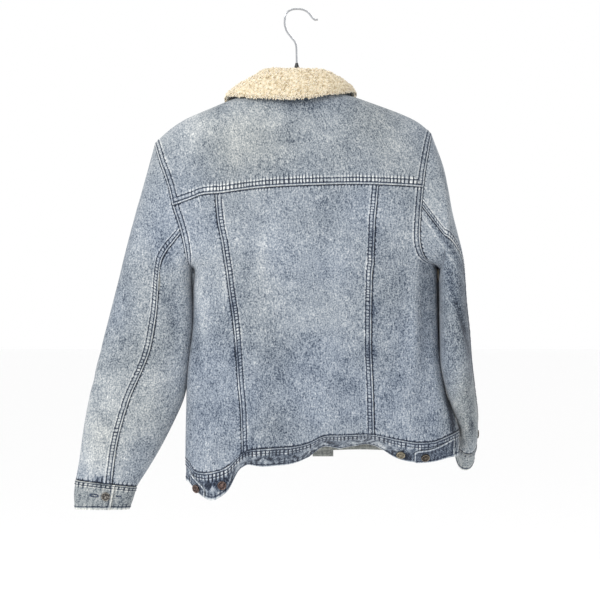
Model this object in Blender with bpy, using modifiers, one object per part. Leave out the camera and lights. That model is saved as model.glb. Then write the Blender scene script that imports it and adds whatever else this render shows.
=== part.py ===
"""A sherpa lined denim jacket, buttoned and hung on a plain clothes hanger.

+X is the wearer's right, +Y is forward and +Z is up, so the back faces -Y. The origin is the
inside of the hook's crown, where the hanger rests on a rail. Sizes are in millimetres and
become metres as each mesh is made. Every panel is a grid on one shared surface: its outer
points are the surface, its inner points lie a wall thickness inside along normals that
neighbouring panels share, and its border stands half a seam gap back from the seam.
"""

import math
from collections import namedtuple

import bpy
import numpy as np
from mathutils import Vector

NAME = "sherpa_lined_jacket"
MM = 0.001

# Cloth
WALL = 3.0
SEAM_GAP = 0.3
ARMPIT_GAP = 2.0
SLEEVE_GAP = 0.6
# Below this share the normals that meet at a seam point apart, as at the armpit
FOLDED = 0.55
# Neighbouring rims are split along the same diagonal, towards this direction
RIM_ORDER = np.array([0.37, 0.11, 1.0])
FELL_WIDTH = 11.5
FELL_EDGE = 2.0
FELL_RAISE = 0.9
YOKE_FELL_WIDTH = 13.0

# Body: the outline of each level from the hem to the armpit, and above it the line to which
# the back and front surfaces would close if the armholes were not cut.
BODY_COLUMNS = "z left right princess_left princess_right back front"
BODY_ROWS = (
    (-860, -186, 262, -93, 128, 54, 50),
    (-800, -190, 268, -95, 127, 57, 52),
    (-762, -191, 272, -95, 127, 59, 53),
    (-714, -191, 272, -96, 127, 61, 55),
    (-683, -190, 262, -97, 126, 63, 56),
    (-640, -188, 247, -101, 125, 65, 58),
    (-578, -182, 239, -105, 122, 67, 60),
    (-525, -178, 238, -110, 122, 68, 61),
    (-471, -178, 238, -118, 123, 68, 62),
    (-438, -181, 237, -122, 125, 68, 62),
    (-432, -190, 243, -123, 126, 68, 62),
    (-420, -212, 256, -125, 126, 68, 62),
    (-400, -240, 272, -128, 127, 67, 62),
    (-350, -275, 290, -137, 129, 66, 61),
    (-300, -292, 295, -140, 135, 64, 60),
    (-200, -298, 292, -142, 138, 62, 58),
    (-100, -298, 290, -142, 138, 60, 56),
)
SIDE_POWER = 3.0
ARMPIT_Z = -438
DOME_Z = -345

# Shoulder ridge, and how square the cloth rolls over it
RIDGE_COLUMNS = "x z power"
RIDGE_ROWS = (
    (-244, -228, 2.3),
    (-235, -218, 2.3),
    (-218, -203, 2.4),
    (-201, -191, 2.5),
    (-184, -182, 2.6),
    (-150, -168, 2.9),
    (-122, -156, 3.3),
    (-84, -143, 4.0),
    (-45, -130, 4.0),
    (-9, -125, 4.0),
    (30, -130, 4.0),
    (66, -141, 4.0),
    (93, -148, 3.6),
    (122, -158, 3.2),
    (156, -170, 2.7),
    (190, -184, 2.5),
    (207, -194, 2.4),
    (220, -205, 2.3),
    (226, -212, 2.3),
)

# Armholes
ARMHOLE_COLUMNS = "z back_left back_right front_left front_right"
ARMHOLE_ROWS = (
    (-438, -181, 237, -181, 237),
    (-434, -184, 232, -184, 234),
    (-428, -187, 219, -187, 230),
    (-408, -191, 207, -190, 221),
    (-384, -196, 204, -192, 214),
    (-360, -203, 205, -197, 209),
    (-333, -212, 207, -205, 207),
    (-302, -218, 210, -214, 208),
    (-272, -230, 214, -226, 212),
    (-250, -237, 218, -235, 216),
    (-228, -244, 222, -244, 222),
    (-212, -250, 226, -250, 226),
)

# Lines sewn across the back, by x
YOKE_COLUMNS = "x z"
YOKE_ROWS = (
    (-213, -334),
    (-184, -324),
    (-159, -315),
    (-132, -313),
    (-81, -306),
    (-14, -301),
    (105, -298),
    (142, -299),
    (184, -301),
    (210, -303),
)
BAND_COLUMNS = "x top low front_top front_low"
BAND_ROWS = (
    (-191, -763, -799, -763, -799),
    (-184, -769, -803, -759, -797),
    (-176, -781, -810, -755, -795),
    (-158, -785, -828, -747, -789),
    (-143, -783, -831, -740, -783),
    (-123, -776, -819, -731, -774),
    (-101, -757, -784, -723, -767),
    (-88, -747, -772, -718, -762),
    (-65, -744, -775, -714, -758),
    (-9, -740, -770, -710, -754),
    (14, -735, -761, -709, -753),
    (40, -722, -741, -708, -752),
    (60, -721, -745, -707, -751),
    (86, -720, -741, -706, -750),
    (118, -719, -737, -706, -750),
    (147, -724, -751, -707, -751),
    (173, -729, -763, -709, -753),
    (200, -733, -768, -711, -755),
    (230, -731, -766, -713, -757),
    (252, -723, -760, -713, -757),
    (272, -714, -757, -714, -757),
)
BAND_HEIGHT = 44

# Neck
NECK_X = -9
NECK_HALF = 77
NECK_BACK_Y = -47
NECK_SHOULDER_TURN = 102
NECK_FRONT_DROP = 72
SHOULDER_SEAM_TIP = 25

# Front opening: the left front laps over the right one, and its strip's seam slants as it hangs
PLACKET_COLUMNS = "z seam"
PLACKET_ROWS = (
    (-700, 24),
    (-440, -2),
    (-200, -27),
)
PLACKET_WIDTH = 36
PLACKET_LOW_Z = -762
LAP_BLEND = 35
LAP_GAP = 1.1
BAND_GAP = 0.5

# Broad folds pressed into the back: centre, half length down the cloth, half width, depth
# (outwards is positive) and lean of the fold in degrees
FOLD_COLUMNS = "x z length width depth lean"
FOLD_ROWS = (
    (222, -520, 90, 13, -6.0, 2),
    (206, -500, 110, 15, 3.0, 2),
    (-166, -500, 70, 12, 3.0, -4),
    (-150, -640, 80, 20, -2.5, -6),
    (50, -660, 75, 26, 3.5, 8),
    (-30, -700, 55, 22, -3.0, -6),
    (-150, -740, 40, 24, 5.0, 10),
    (180, -690, 55, 24, 4.0, -14),
    (-60, -360, 60, 26, -2.0, 12),
    (150, -360, 55, 18, -2.0, -10),
)

# Sleeves: rings below the armhole. The ring's u axis points to the outer edge and leans up by
# tilt, its v axis points back and drops by pitch; seam is the back seam's turn from u to v.
Ring = namedtuple("Ring", "x y z half_u half_v tilt pitch seam")
LEFT_SLEEVE_ROWS = (
    (-235, 0, -425, 69, 43, 43, 0, 92),
    (-244, -2, -497, 72, 39, 31, 0, 93),
    (-260.5, -4, -580, 73.5, 35, 14, 0, 94),
    (-275.5, -5, -655, 78, 33, 5, 0, 87),
    (-295, -3, -722, 71.5, 30, 1, 0, 86),
    (-312, 0, -769, 60.6, 27, 4, 0, 90),
    (-327, 2, -804, 52, 24, 6.6, 0, 98),
)
LEFT_CUFF_ROWS = (
    (-327, 2, -804.6, 52, 24, 6.6, 0, 98),
    (-331, 3, -825, 51, 24, 4, 0, 98),
    (-334, 4, -849, 46.5, 23, 0, 0, 98),
)
RIGHT_SLEEVE_ROWS = (
    (243.5, 0, -359, 89, 66, 88, 0, 100),
    (249.5, 0, -398, 60, 70, 80, 0, 84),
    (259, 3, -451, 43, 72, 64, 0, 42),
    (263, 8, -512, 31, 78, 47, 0, 18),
    (267, 12, -565, 25, 78, 12, 0, 13),
    (270.5, 16, -600, 25, 76, 0, 6, 14),
    (279, 25, -640, 21.5, 71, 0, 18, 5),
    (291, 46, -693, 16.5, 60, 0, 32, 0),
    (290.5, 62, -720, 16.5, 52, 0, 45, -5),
)
RIGHT_CUFF_ROWS = (
    (290.5, 62.4, -720.4, 16.5, 52, 0, 45, -5),
    (289, 75, -732, 17.5, 51, 0, 48, -5),
    (287, 91, -748, 17.5, 50, 0, 50, -5),
)
RING_POWER = 2.5
FRONT_SEAM_TURN = 232
CUFF_LAP = 32
CUFF_UNDER_TURN = 330
CUFF_SHRINK = 10
SLEEVE_SEAM_Z = {"left": -371, "right": -345}
CUFF_START_TURN = {"left": 98, "right": 5}
CUFF_BUTTON_TURN = {"left": 93, "right": -8}

# Side tabs of the hem band: x, and the share down the band of the tab's upper edge
TAB_COLUMNS = "x top"
TAB_ROWS = {
    "left": ((-182, 0.32), (-179, 0.35), (-174, 0.40), (-167, 0.48), (-160, 0.58), (-157, 0.68)),
    "right": ((262, 0.2), (254, 0.22), (240, 0.28), (224, 0.34), (210, 0.38), (200, 0.42), (196, 0.5)),
}
TAB_FOOT = 0.97
TAB_WALL = 2.0
TAB_GAP = 1.2

# Collar sections, from the left end in front, round the back, to the right end in front:
# turn about the neck, the fold line and the fall's edge
COLLAR_COLUMNS = "turn fold_x fold_y fold_z edge_x edge_y edge_z"
COLLAR_ROWS = (
    (-172, -20, 66, -196, -62, 76, -252),
    (-140, -50, 52, -168, -108, 64, -204),
    (-126, -62, 41, -149, -119, 52, -176),
    (-112, -70, 26, -134, -122, 26, -154),
    (-90, -78, 2, -124, -119, -4, -148),
    (-60, -68, -22, -111, -106, -27, -149),
    (-32, -44, -36, -103, -64, -51, -153),
    (0, -6, -41, -102, -9, -58, -154),
    (32, 34, -36, -103, 42, -50, -148),
    (60, 54, -22, -109, 76, -27, -142),
    (90, 64, 2, -122, 90, -4, -140),
    (112, 58, 26, -133, 95, 26, -145),
    (126, 47, 42, -147, 93, 57, -173),
    (140, 34, 53, -166, 85, 67, -204),
    (172, 4, 66, -196, 46, 76, -252),
)
PILE_WALL = 6.5
UNDER_WALL = 1.8
FOLD_RADIUS = 5.0
COLLAR_LIFT = 0.8
COLLAR_FRONT_LIFT = 4.0

# Buttons
BUTTON_RADIUS = 8.0
BUTTON_HEIGHT = 3.6
SHANK_RADIUS = 4.0
SHANK_HEIGHT = 1.2
FRONT_BUTTONS = 6
FRONT_BUTTON_TOP = -240
FRONT_BUTTON_LOW = -735
TAB_RISE = TAB_GAP + TAB_WALL + 0.3
# Name, x, share down the band, and how far off the band the button stands
BAND_BUTTONS = (
    ("spare_button_left", -129, 0.60, 0.8),
    ("tab_button_left", -169, 0.78, TAB_RISE),
    ("spare_button_right", 173, 0.70, 0.2),
    ("tab_button_right", 213, 0.66, TAB_RISE),
)

# Hanger
WIRE_RADIUS = 1.7
HOOK_COLUMNS = "x z"
HOOK_ROWS = (
    (-3, -89.7),
    (-3.4, -66),
    (-5, -57),
    (-12, -47),
    (-20, -36),
    (-23.5, -22),
    (-22.5, -10),
    (-16, -1.5),
    (-7, 1.5),
    (0, 1.7),
    (9, 0),
    (17, -5),
    (23, -12.5),
    (28, -16.6),
    (33, -16.2),
)
NECK_TOP_Z = -90
NECK_CONE_RADIUS = 6.2
BAR_RADIUS = 6.0
BAR_LEFT_X = -190
BAR_RIGHT_X = 176
BAR_CLEARANCE = 2.4
BAR_NECK_DIP = 3.6

# Colours, linear
DENIM = (0.33, 0.39, 0.46)
DENIM_DARK = (0.27, 0.32, 0.39)
PILE = (0.78, 0.68, 0.50)
COPPER = (0.36, 0.20, 0.12)
CHROME = (0.75, 0.75, 0.76)
BLACK = (0.02, 0.02, 0.02)


def table(columns, rows):
    """The rows' named columns as arrays."""
    return dict(zip(columns.split(), np.array(rows, float).T))


def smooth(xs, ys, at):
    """A curve through (xs, ys) that never overshoots, read at the given places."""
    at = np.clip(np.asarray(at, float), xs[0], xs[-1])
    step = np.diff(xs)
    slope = np.diff(ys) / step
    inner = np.where(
        slope[:-1] * slope[1:] > 0,
        2 * slope[:-1] * slope[1:] / np.where(slope[:-1] + slope[1:] == 0, 1, slope[:-1] + slope[1:]),
        0,
    )
    tangent = np.concatenate([[slope[0]], inner, [slope[-1]]])
    k = np.clip(np.searchsorted(xs, at, side="right") - 1, 0, len(xs) - 2)
    t = (at - xs[k]) / step[k]
    return (
        ys[k] * (1 + 2 * t) * (1 - t) ** 2
        + tangent[k] * step[k] * t * (1 - t) ** 2
        + ys[k + 1] * t**2 * (3 - 2 * t)
        + tangent[k + 1] * step[k] * t**2 * (t - 1)
    )


def ease(value):
    """0 to 1 with level ends."""
    value = np.clip(value, 0, 1)
    return value * value * (3 - 2 * value)


BODY = table(BODY_COLUMNS, BODY_ROWS)
RIDGE = table(RIDGE_COLUMNS, RIDGE_ROWS)
ARMHOLE = table(ARMHOLE_COLUMNS, ARMHOLE_ROWS)
YOKE = table(YOKE_COLUMNS, YOKE_ROWS)
BAND = table(BAND_COLUMNS, BAND_ROWS)
FOLDS = table(FOLD_COLUMNS, FOLD_ROWS)
PLACKET = table(PLACKET_COLUMNS, PLACKET_ROWS)


def body_at(column, z):
    return smooth(BODY["z"], BODY[column], z)


def band_at(column, x):
    return smooth(BAND["x"], BAND[column], x)


def placket_x(z):
    return smooth(PLACKET["z"], PLACKET["seam"], z)


def ridge_z(x):
    return smooth(RIDGE["x"], RIDGE["z"], x)


def ridge_power(x):
    return smooth(RIDGE["x"], RIDGE["power"], x)


def side_close(x, z):
    """How far the surface stands from the mid plane there, as a share: 0 at the sides."""
    left = body_at("left", z)
    right = body_at("right", z)
    across = np.clip(np.abs(2 * x - left - right) / (right - left), 0, 1)
    return (1 - across**SIDE_POWER) ** (1 / SIDE_POWER)


def dome_close(x, z):
    """The same towards the shoulder ridge: 0 on it."""
    power = ridge_power(x)
    rise = np.clip((z - DOME_Z) / (ridge_z(x) - DOME_Z), 0, 1)
    return (1 - rise**power) ** (1 / power)


def fold_depth(x, z):
    """The broad folds' height above the plain surface."""
    total = np.zeros(np.broadcast(x, z).shape)
    for fx, fz, length, width, depth, lean in zip(*FOLDS.values()):
        turn = math.radians(lean)
        along = (z - fz) * math.cos(turn) + (x - fx) * math.sin(turn)
        across = (x - fx) * math.cos(turn) - (z - fz) * math.sin(turn)
        total = total + depth * np.exp(-((along / length) ** 2) - (across / width) ** 2)
    return total


def back_point(x, z):
    """The back's outer surface at x and height z."""
    close = side_close(x, z) * dome_close(x, z)
    depth = body_at("back", z) * close
    return np.stack([x, -depth - fold_depth(x, z) * ease(close * 1.6 - 0.3), z], -1)


def lap_height(x, z):
    """How far the left front's edge stands off the right front below it."""
    return (WALL + LAP_GAP) * ease((x - placket_x(z) + LAP_BLEND) / LAP_BLEND)


def front_point(x, z, lap=0.0):
    """The front's outer surface at x and height z; lap is 1 on the left front."""
    depth = body_at("front", z) * side_close(x, z) * dome_close(x, z)
    return np.stack([x, depth + lap * lap_height(x, z), z], -1)


def shoulder_point(x, beta):
    """The surface at x, rolled beta degrees forward of the shoulder ridge."""
    power = ridge_power(x)
    turn = np.radians(np.abs(beta))
    z = DOME_Z + (ridge_z(x) - DOME_Z) * np.cos(turn) ** (2 / power)
    side = np.where(np.asarray(beta) < 0, "back", "front")
    depth = np.where(side == "back", body_at("back", z), body_at("front", z))
    y = np.sign(beta) * depth * side_close(x, z) * np.sin(turn) ** (2 / power)
    return np.stack([x, y, z], -1)


def roll_of(x, z, sign):
    """The roll about the ridge of the surface point at x and z."""
    power = ridge_power(x)
    rise = np.clip((z - DOME_Z) / (ridge_z(x) - DOME_Z), 0, 1)
    return sign * np.degrees(np.arccos(rise ** (power / 2)))


def armhole_x(side, z, front=False):
    """The armhole's edge at height z."""
    return smooth(ARMHOLE["z"], ARMHOLE[f"{'front' if front else 'back'}_{side}"], z)


def on_armhole(side, beta):
    """x of the armhole's edge where the shoulder is rolled by beta."""
    x = float(armhole_x(side, -240))
    for _ in range(60):
        z = float(shoulder_point(np.float64(x), beta)[2])
        x = 0.5 * x + 0.5 * float(armhole_x(side, z, front=beta > 0))
    return x


def coons(bottom, top, left, right):
    """A grid of rows from bottom to top between four edges given as 2D points."""
    def stations(first, second):
        lengths = []
        for line in (first, second):
            run = np.concatenate([[0], np.cumsum(np.linalg.norm(np.diff(line, axis=0), axis=1))])
            lengths.append(run / run[-1])
        return (lengths[0] + lengths[1]) / 2

    u = stations(bottom, top)[None, :, None]
    v = stations(left, right)[:, None, None]
    ruled = (1 - v) * bottom[None] + v * top[None] + (1 - u) * left[:, None] + u * right[:, None]
    corners = (
        (1 - u) * (1 - v) * bottom[0]
        + u * (1 - v) * bottom[-1]
        + (1 - u) * v * top[0]
        + u * v * top[-1]
    )
    return ruled - corners


def spread(count, power=1.0):
    """Stations from 0 to 1, closer together near 0 for a power over 1."""
    return np.linspace(0, 1, count) ** power


# Stations shared by neighbouring panels
ROWS_LOW = spread(9)
ROWS_HIGH = spread(8, 1.7)
ROWS_FRONT = np.array([0, 0.03, 0.09, 0.2, 0.36, 0.54, 0.72, 0.86, 0.94, 0.98, 1])
ARM_STEPS = np.array([0.0, FELL_WIDTH, FELL_WIDTH + FELL_EDGE])


def side_heights(z_low, z_high, upper=ROWS_HIGH):
    """Row heights on one upright seam, with a row at the armpit."""
    low = z_low + (ARMPIT_Z - z_low) * ROWS_LOW
    high = ARMPIT_Z + (z_high - ARMPIT_Z) * upper
    return np.concatenate([low, high[1:]])


def points_2d(x, z):
    return np.stack([x, z], -1)


def back_layout():
    """The back's seam lines as 2D points in x and z."""
    lines = {}
    for side, sign in (("left", 1), ("right", -1)):
        arm = float(armhole_x(side, float(smooth(YOKE["x"], YOKE["z"], sign * -211.0))))
        top_inner = float(body_at(f"princess_{side}", -310))
        top_x = np.concatenate(
            [arm + sign * ARM_STEPS, np.linspace(arm + sign * 24, top_inner, 5)]
        )
        top = points_2d(top_x, smooth(YOKE["x"], YOKE["z"], top_x))
        edge = float(body_at(side, band_at("top", -191.0 if side == "left" else 272.0)))
        low_inner = float(body_at(f"princess_{side}", -740))
        low_x = edge + (low_inner - edge) * spread(len(top_x), 2.2)
        low = points_2d(low_x, band_at("top", low_x))
        heights = side_heights(low[0, 1], top[0, 1])
        outer_x = np.where(
            heights <= ARMPIT_Z, body_at(side, heights), armhole_x(side, heights)
        )
        outer_x[0] = edge
        seam_z = side_heights(low[-1, 1], top[-1, 1])
        seam_x = body_at(f"princess_{side}", seam_z)
        seam_x[0], seam_x[-1] = low[-1, 0], top[-1, 0]
        lines[side] = {
            "low": low,
            "top": top,
            "outer": points_2d(outer_x, heights),
            "inner": points_2d(seam_x, seam_z),
        }
    return lines


def centre_lines(lines):
    """Bottom and top edges of the centre back, with stations for the two fells."""
    edges = []
    for key in ("low", "top"):
        start = lines["left"][key][-1, 0]
        end = lines["right"][key][-1, 0]
        middle = np.linspace(start + 30, end - 30, 7)
        steps = np.array([0, FELL_WIDTH, FELL_WIDTH + FELL_EDGE])
        x = np.concatenate([start + steps, middle, end - steps[::-1]])
        z = band_at("top", x) if key == "low" else smooth(YOKE["x"], YOKE["z"], x)
        edges.append(points_2d(x, z))
    return edges


def normals_of(grid):
    """Unit normals of a grid, rows up and columns to the right, facing the viewer of both."""
    down = np.gradient(grid, axis=0)
    along = np.gradient(grid, axis=1)
    normal = np.cross(along, down)
    return normal / np.maximum(np.linalg.norm(normal, axis=-1, keepdims=True), 1e-9)


class Panels:
    """Cloth panels whose seams share points, so their walls meet on shared mitres."""

    def __init__(self):
        self.items = {}

    def add(self, name, grid, outward, colour, raised=None, wall=WALL, gap=SEAM_GAP, group=""):
        """Keep a grid; outward is the sign its normals follow, and a group stays on one side."""
        normal = normals_of(grid) * outward
        self.items[name] = {
            "grid": grid,
            "normal": normal,
            "raised": np.zeros(grid.shape[:2]) if raised is None else raised,
            "colour": colour,
            "wall": wall,
            "outward": outward,
            "gap": gap,
            "group": group,
        }

    def shared_normals(self):
        """The sum and the number of all panels' normals that meet at each point."""
        total = {}
        for item in self.items.values():
            for key, normal in zip(point_keys(item["grid"]), item["normal"].reshape(-1, 3)):
                for kept in (key, (key, item["group"])):
                    summed, count = total.get(kept, (0, 0))
                    total[kept] = (summed + normal, count + 1)
        return total

    def build(self, collection):
        """Make every kept panel a solid wall."""
        total = self.shared_normals()
        for name, item in self.items.items():
            grid, normal = item["grid"], item["normal"]
            keys = point_keys(grid)
            met = [total[key] for key in keys]
            summed = np.array([value[0] for value in met]).reshape(grid.shape)
            count = np.array([value[1] for value in met]).reshape(grid.shape[:2] + (1,))
            own = np.array([total[(key, item["group"])][0] for key in keys]).reshape(grid.shape)
            spread_out = np.linalg.norm(summed, axis=-1, keepdims=True) / count
            folded = spread_out < FOLDED
            shared = np.where(folded, unit(own), unit(summed))
            reach = np.where(folded, 1.0, 1 / np.maximum(spread_out, 0.7))
            shift = border_shift(grid, normal, shared, spread_out, folded)
            shift = shift * item["gap"] / 2
            back = grid - shared * item["wall"] * reach + shift
            face = grid + shift + normal * item["raised"][..., None]
            make_wall(name, face, back, item["outward"], item["colour"], collection)


def unit(vectors):
    return vectors / np.maximum(np.linalg.norm(vectors, axis=-1, keepdims=True), 1e-9)


def point_keys(grid):
    """A key for each point, equal where panels share it."""
    return list(map(tuple, np.round(grid / 0.02).astype(int).reshape(-1, 3)))


def border_shift(grid, normal, shared, spread_out, folded):
    """Unit steps that draw a panel's border points back from its seams."""
    pull = np.zeros_like(grid)
    pull[0] += unit(grid[1] - grid[0])
    pull[-1] += unit(grid[-2] - grid[-1])
    pull[:, 0] += unit(grid[:, 1] - grid[:, 0])
    pull[:, -1] += unit(grid[:, -2] - grid[:, -1])
    border = np.linalg.norm(pull, axis=-1, keepdims=True) > 1e-6
    away = pull - np.where(border & (spread_out < 0.85), normal, 0)
    level = away - shared * np.sum(away * shared, -1, keepdims=True)
    away = unit(np.where(folded, away, level))
    corner = np.ones(grid.shape[:2] + (1,))
    corner[0, 0] = corner[0, -1] = corner[-1, 0] = corner[-1, -1] = 1.41
    return np.where(border, away * corner, 0)


def make_wall(name, face, back, outward, colour, collection):
    """One closed solid between two grids of the same layout."""
    rows, cols = face.shape[:2]
    number = np.arange(rows * cols).reshape(rows, cols)
    offset = rows * cols
    points = np.concatenate([face.reshape(-1, 3), back.reshape(-1, 3)])
    faces = []

    def triangles(a, b, c, d):
        for corners in ((a, b, c), (a, c, d)):
            faces.append(corners if outward > 0 else corners[::-1])

    for j in range(rows - 1):
        for i in range(cols - 1):
            a, b = number[j, i], number[j, i + 1]
            c, d = number[j + 1, i + 1], number[j + 1, i]
            triangles(a, b, c, d)
            triangles(offset + a, offset + d, offset + c, offset + b)
    rim = [(0, i) for i in range(cols)]
    rim += [(j, cols - 1) for j in range(1, rows)]
    rim += [(rows - 1, i) for i in range(cols - 2, -1, -1)]
    rim += [(j, 0) for j in range(rows - 2, 0, -1)]
    order = points @ RIM_ORDER
    for here, there in zip(rim, rim[1:] + rim[:1]):
        a, b = number[here], number[there]
        if order[a] > order[b]:
            triangles(a, offset + a, offset + b, b)
        else:
            triangles(b, a, offset + a, offset + b)
    mesh = bpy.data.meshes.new(name)
    mesh.from_pydata((points * MM).tolist(), [], [tuple(int(n) for n in f) for f in faces])
    mesh.update()
    mesh.shade_smooth()
    mesh.set_sharp_from_angle(angle=math.radians(40))
    obj = bpy.data.objects.new(name, mesh)
    collection.objects.link(obj)
    obj.data.materials.append(material(name, colour))
    return obj


def material(name, colour, metallic=0.0, roughness=0.9):
    """A Principled material of its own for one piece."""
    made = bpy.data.materials.new(f"{name}_material")
    made.use_nodes = True
    shader = made.node_tree.nodes["Principled BSDF"]
    shader.inputs["Base Color"].default_value = (*colour, 1)
    shader.inputs["Metallic"].default_value = metallic
    shader.inputs["Roughness"].default_value = roughness
    return made


def fell_rows(shape, left=False, right=False, bottom=False, fade=None):
    """Height of the felled bands along a panel's edges, whose first two stations they span."""
    raised = np.zeros(shape)
    if left:
        raised[:, :2] = FELL_RAISE
    if right:
        raised[:, -2:] = FELL_RAISE
    if fade is not None:
        raised *= fade[:, None]
    if bottom:
        raised[:2, :] = FELL_RAISE
    return raised


def neck_plan(turn):
    """The neck edge at a turn from the centre back, on the yoke."""
    a = math.radians(turn)
    x = NECK_X + NECK_HALF * math.sin(a)
    y = NECK_BACK_Y * math.cos(a)
    power = float(ridge_power(x))
    z = float(ridge_z(x))
    for _ in range(30):
        depth = float(body_at("back" if y < 0 else "front", z))
        share = min(1.0, abs(y) / (depth * float(side_close(np.float64(x), z))))
        z = DOME_Z + (float(ridge_z(x)) - DOME_Z) * (1 - share**power) ** (1 / power)
    return x, math.copysign(math.degrees(math.asin(share ** (power / 2))), y)


def yoke_edges(lines, centre_top):
    """The yoke's edges in x and roll: its sewn seam, and the four edges above the fell."""
    seam_x = np.concatenate(
        [lines["left"]["top"][:, 0], centre_top[1:-1, 0], lines["right"]["top"][::-1, 0]]
    )
    seam_z = smooth(YOKE["x"], YOKE["z"], seam_x)
    rise = YOKE_FELL_WIDTH + FELL_EDGE
    bottom_x = seam_x.copy()
    for side, column, sign in (("left", 0, 1), ("right", -1, -1)):
        moved = float(armhole_x(side, seam_z[column] + rise)) - seam_x[column]
        near = ease(1 - sign * (seam_x - seam_x[column]) / 60)
        bottom_x = bottom_x + moved * near
    bottom = points_2d(bottom_x, roll_of(bottom_x, seam_z + rise, -1))
    edges = {"seam": points_2d(seam_x, seam_z), "bottom": bottom}
    neck_turns = np.linspace(-NECK_SHOULDER_TURN, NECK_SHOULDER_TURN, len(seam_x) - 16)
    neck = np.array([neck_plan(turn) for turn in neck_turns])
    for side, column in (("left", 0), ("right", -1)):
        low = bottom[column, 1]
        turns = np.concatenate([np.linspace(low, -8, 6), [0], np.linspace(9, SHOULDER_SEAM_TIP, 2)])
        x = np.array([on_armhole(side, turn) for turn in turns])
        x[0] = bottom[column, 0]
        edges[side] = points_2d(x, turns)
        tip, point = x[-1], neck[column]
        sign = 1 if side == "left" else -1
        x = np.concatenate([tip + sign * ARM_STEPS, np.linspace(tip + sign * 26, point[0], 6)])
        share = (x - tip) / (point[0] - tip)
        roll = SHOULDER_SEAM_TIP + (point[1] - SHOULDER_SEAM_TIP) * share
        edges[f"shoulder_{side}"] = points_2d(x, roll)
    edges["top"] = np.concatenate(
        [edges["shoulder_left"], neck[1:-1], edges["shoulder_right"][::-1]]
    )
    return edges


def front_grid(side, lines, edges):
    """A front panel: side seam and armhole, shoulder seam, neck edge and front edge."""
    sign = 1 if side == "left" else -1
    seam = edges[f"shoulder_{side}"]
    over = shoulder_point(seam[:, 0], seam[:, 1])
    shoulder = points_2d(over[:, 0], over[:, 2])
    stop_x = float(placket_x(shoulder[-1, 1] - NECK_FRONT_DROP))
    reach = abs(shoulder[-1, 0] - NECK_X)
    turns = np.linspace(0, math.acos(sign * (NECK_X - stop_x) / reach), 6)[1:]
    neck_x = NECK_X - sign * reach * np.cos(turns)
    neck_z = shoulder[-1, 1] - NECK_FRONT_DROP * np.sin(turns)
    top = np.concatenate([shoulder, points_2d(neck_x, neck_z)])
    edge = lines[side]["outer"][0, 0]
    low_x = edge + (float(placket_x(-720)) - edge) * spread(len(top), 1.9)
    low = points_2d(low_x, band_at("front_top", low_x))
    low[0] = lines[side]["outer"][0]
    heights = side_heights(low[0, 1], top[0, 1], ROWS_FRONT)
    outer_x = np.where(
        heights <= ARMPIT_Z, body_at(side, heights), armhole_x(side, heights, front=True)
    )
    outer_x[0], outer_x[-1] = edge, top[0, 0]
    inner_z = side_heights(low[-1, 1], top[-1, 1], ROWS_FRONT)
    inner_x = placket_x(inner_z)
    inner_x[-1] = top[-1, 0]
    inner = points_2d(inner_x, inner_z)
    flat = coons(low, top, points_2d(outer_x, heights), inner)
    grid = front_point(flat[..., 0], flat[..., 1], lap=1.0 if side == "left" else 0.0)
    grid[-1, : len(over)] = over
    return grid


def band_point(x, share, front=False, lap=0.0):
    """The hem band's outer surface, share down from its top seam; it curls in where it is short."""
    top = band_at("front_top" if front else "top", x)
    low = band_at("front_low" if front else "low", x)
    z = top + (low - top) * share
    if front:
        return front_point(x, z, lap)
    point = back_point(x, top)
    close = side_close(x, top)
    curl = np.sqrt(np.maximum(BAND_HEIGHT**2 - (top - low) ** 2, 0)) * ease(close * 1.4 - 0.4)
    y = point[..., 1] + curl * share**1.3
    return np.stack([x, y, z], -1)


def strip(columns, rows, make):
    """A grid whose rows run up, from a function of column and row stations."""
    return np.stack([make(columns, share) for share in rows])


def ring(row, turns):
    """Points of one sleeve ring at these turns from the outer edge towards the back."""
    sign = -1 if row.x < 0 else 1
    lean, nod = math.radians(row.tilt), math.radians(row.pitch)
    u = np.array([sign * math.cos(lean), 0, math.sin(lean)])
    down = np.array([sign * math.sin(lean), 0, -math.cos(lean)])
    down = down * (-1 if down[2] > 0 else 1)
    v = math.sin(nod) * down - math.cos(nod) * np.array([0, 1, 0])
    c, s = np.cos(np.radians(turns)), np.sin(np.radians(turns))
    power = 2 / RING_POWER
    across = np.sign(c) * np.abs(c) ** power * row.half_u
    deep = np.sign(s) * np.abs(s) ** power * row.half_v
    return np.array([row.x, row.y, row.z]) + across[:, None] * u + deep[:, None] * v


def through(knots, count_each):
    """Rows between the knots' rings on Catmull-Rom curves."""
    padded = [2 * knots[0] - knots[1], *knots, 2 * knots[-1] - knots[-2]]
    rows = []
    for k, count in enumerate(count_each):
        p0, p1, p2, p3 = padded[k : k + 4]
        for t in np.arange(count) / count:
            rows.append(
                0.5
                * (
                    2 * p1
                    + (p2 - p0) * t
                    + (2 * p0 - 5 * p1 + 4 * p2 - p3) * t * t
                    + (3 * p1 - p0 - 3 * p2 + p3) * t**3
                )
            )
    rows.append(knots[-1])
    return np.stack(rows)


def armhole_loop(side, panels):
    """The armhole's points from the shoulder tip, down the back, up the front, to the tip."""
    column = 0 if side == "left" else -1
    yoke = panels["back_yoke"]["grid"][:, column]
    back = panels[f"back_side_{side}"]["grid"][:, column]
    front = panels[f"front_{side}"]["grid"][:, column]
    armpit = len(ROWS_LOW) - 1
    tip = int(np.argmax(yoke[:, 2]))
    return np.concatenate(
        [
            yoke[tip::-1],
            back[-2:armpit:-1],
            front[armpit:],
            yoke[-2:tip:-1],
            yoke[tip : tip + 1],
        ]
    )


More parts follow.
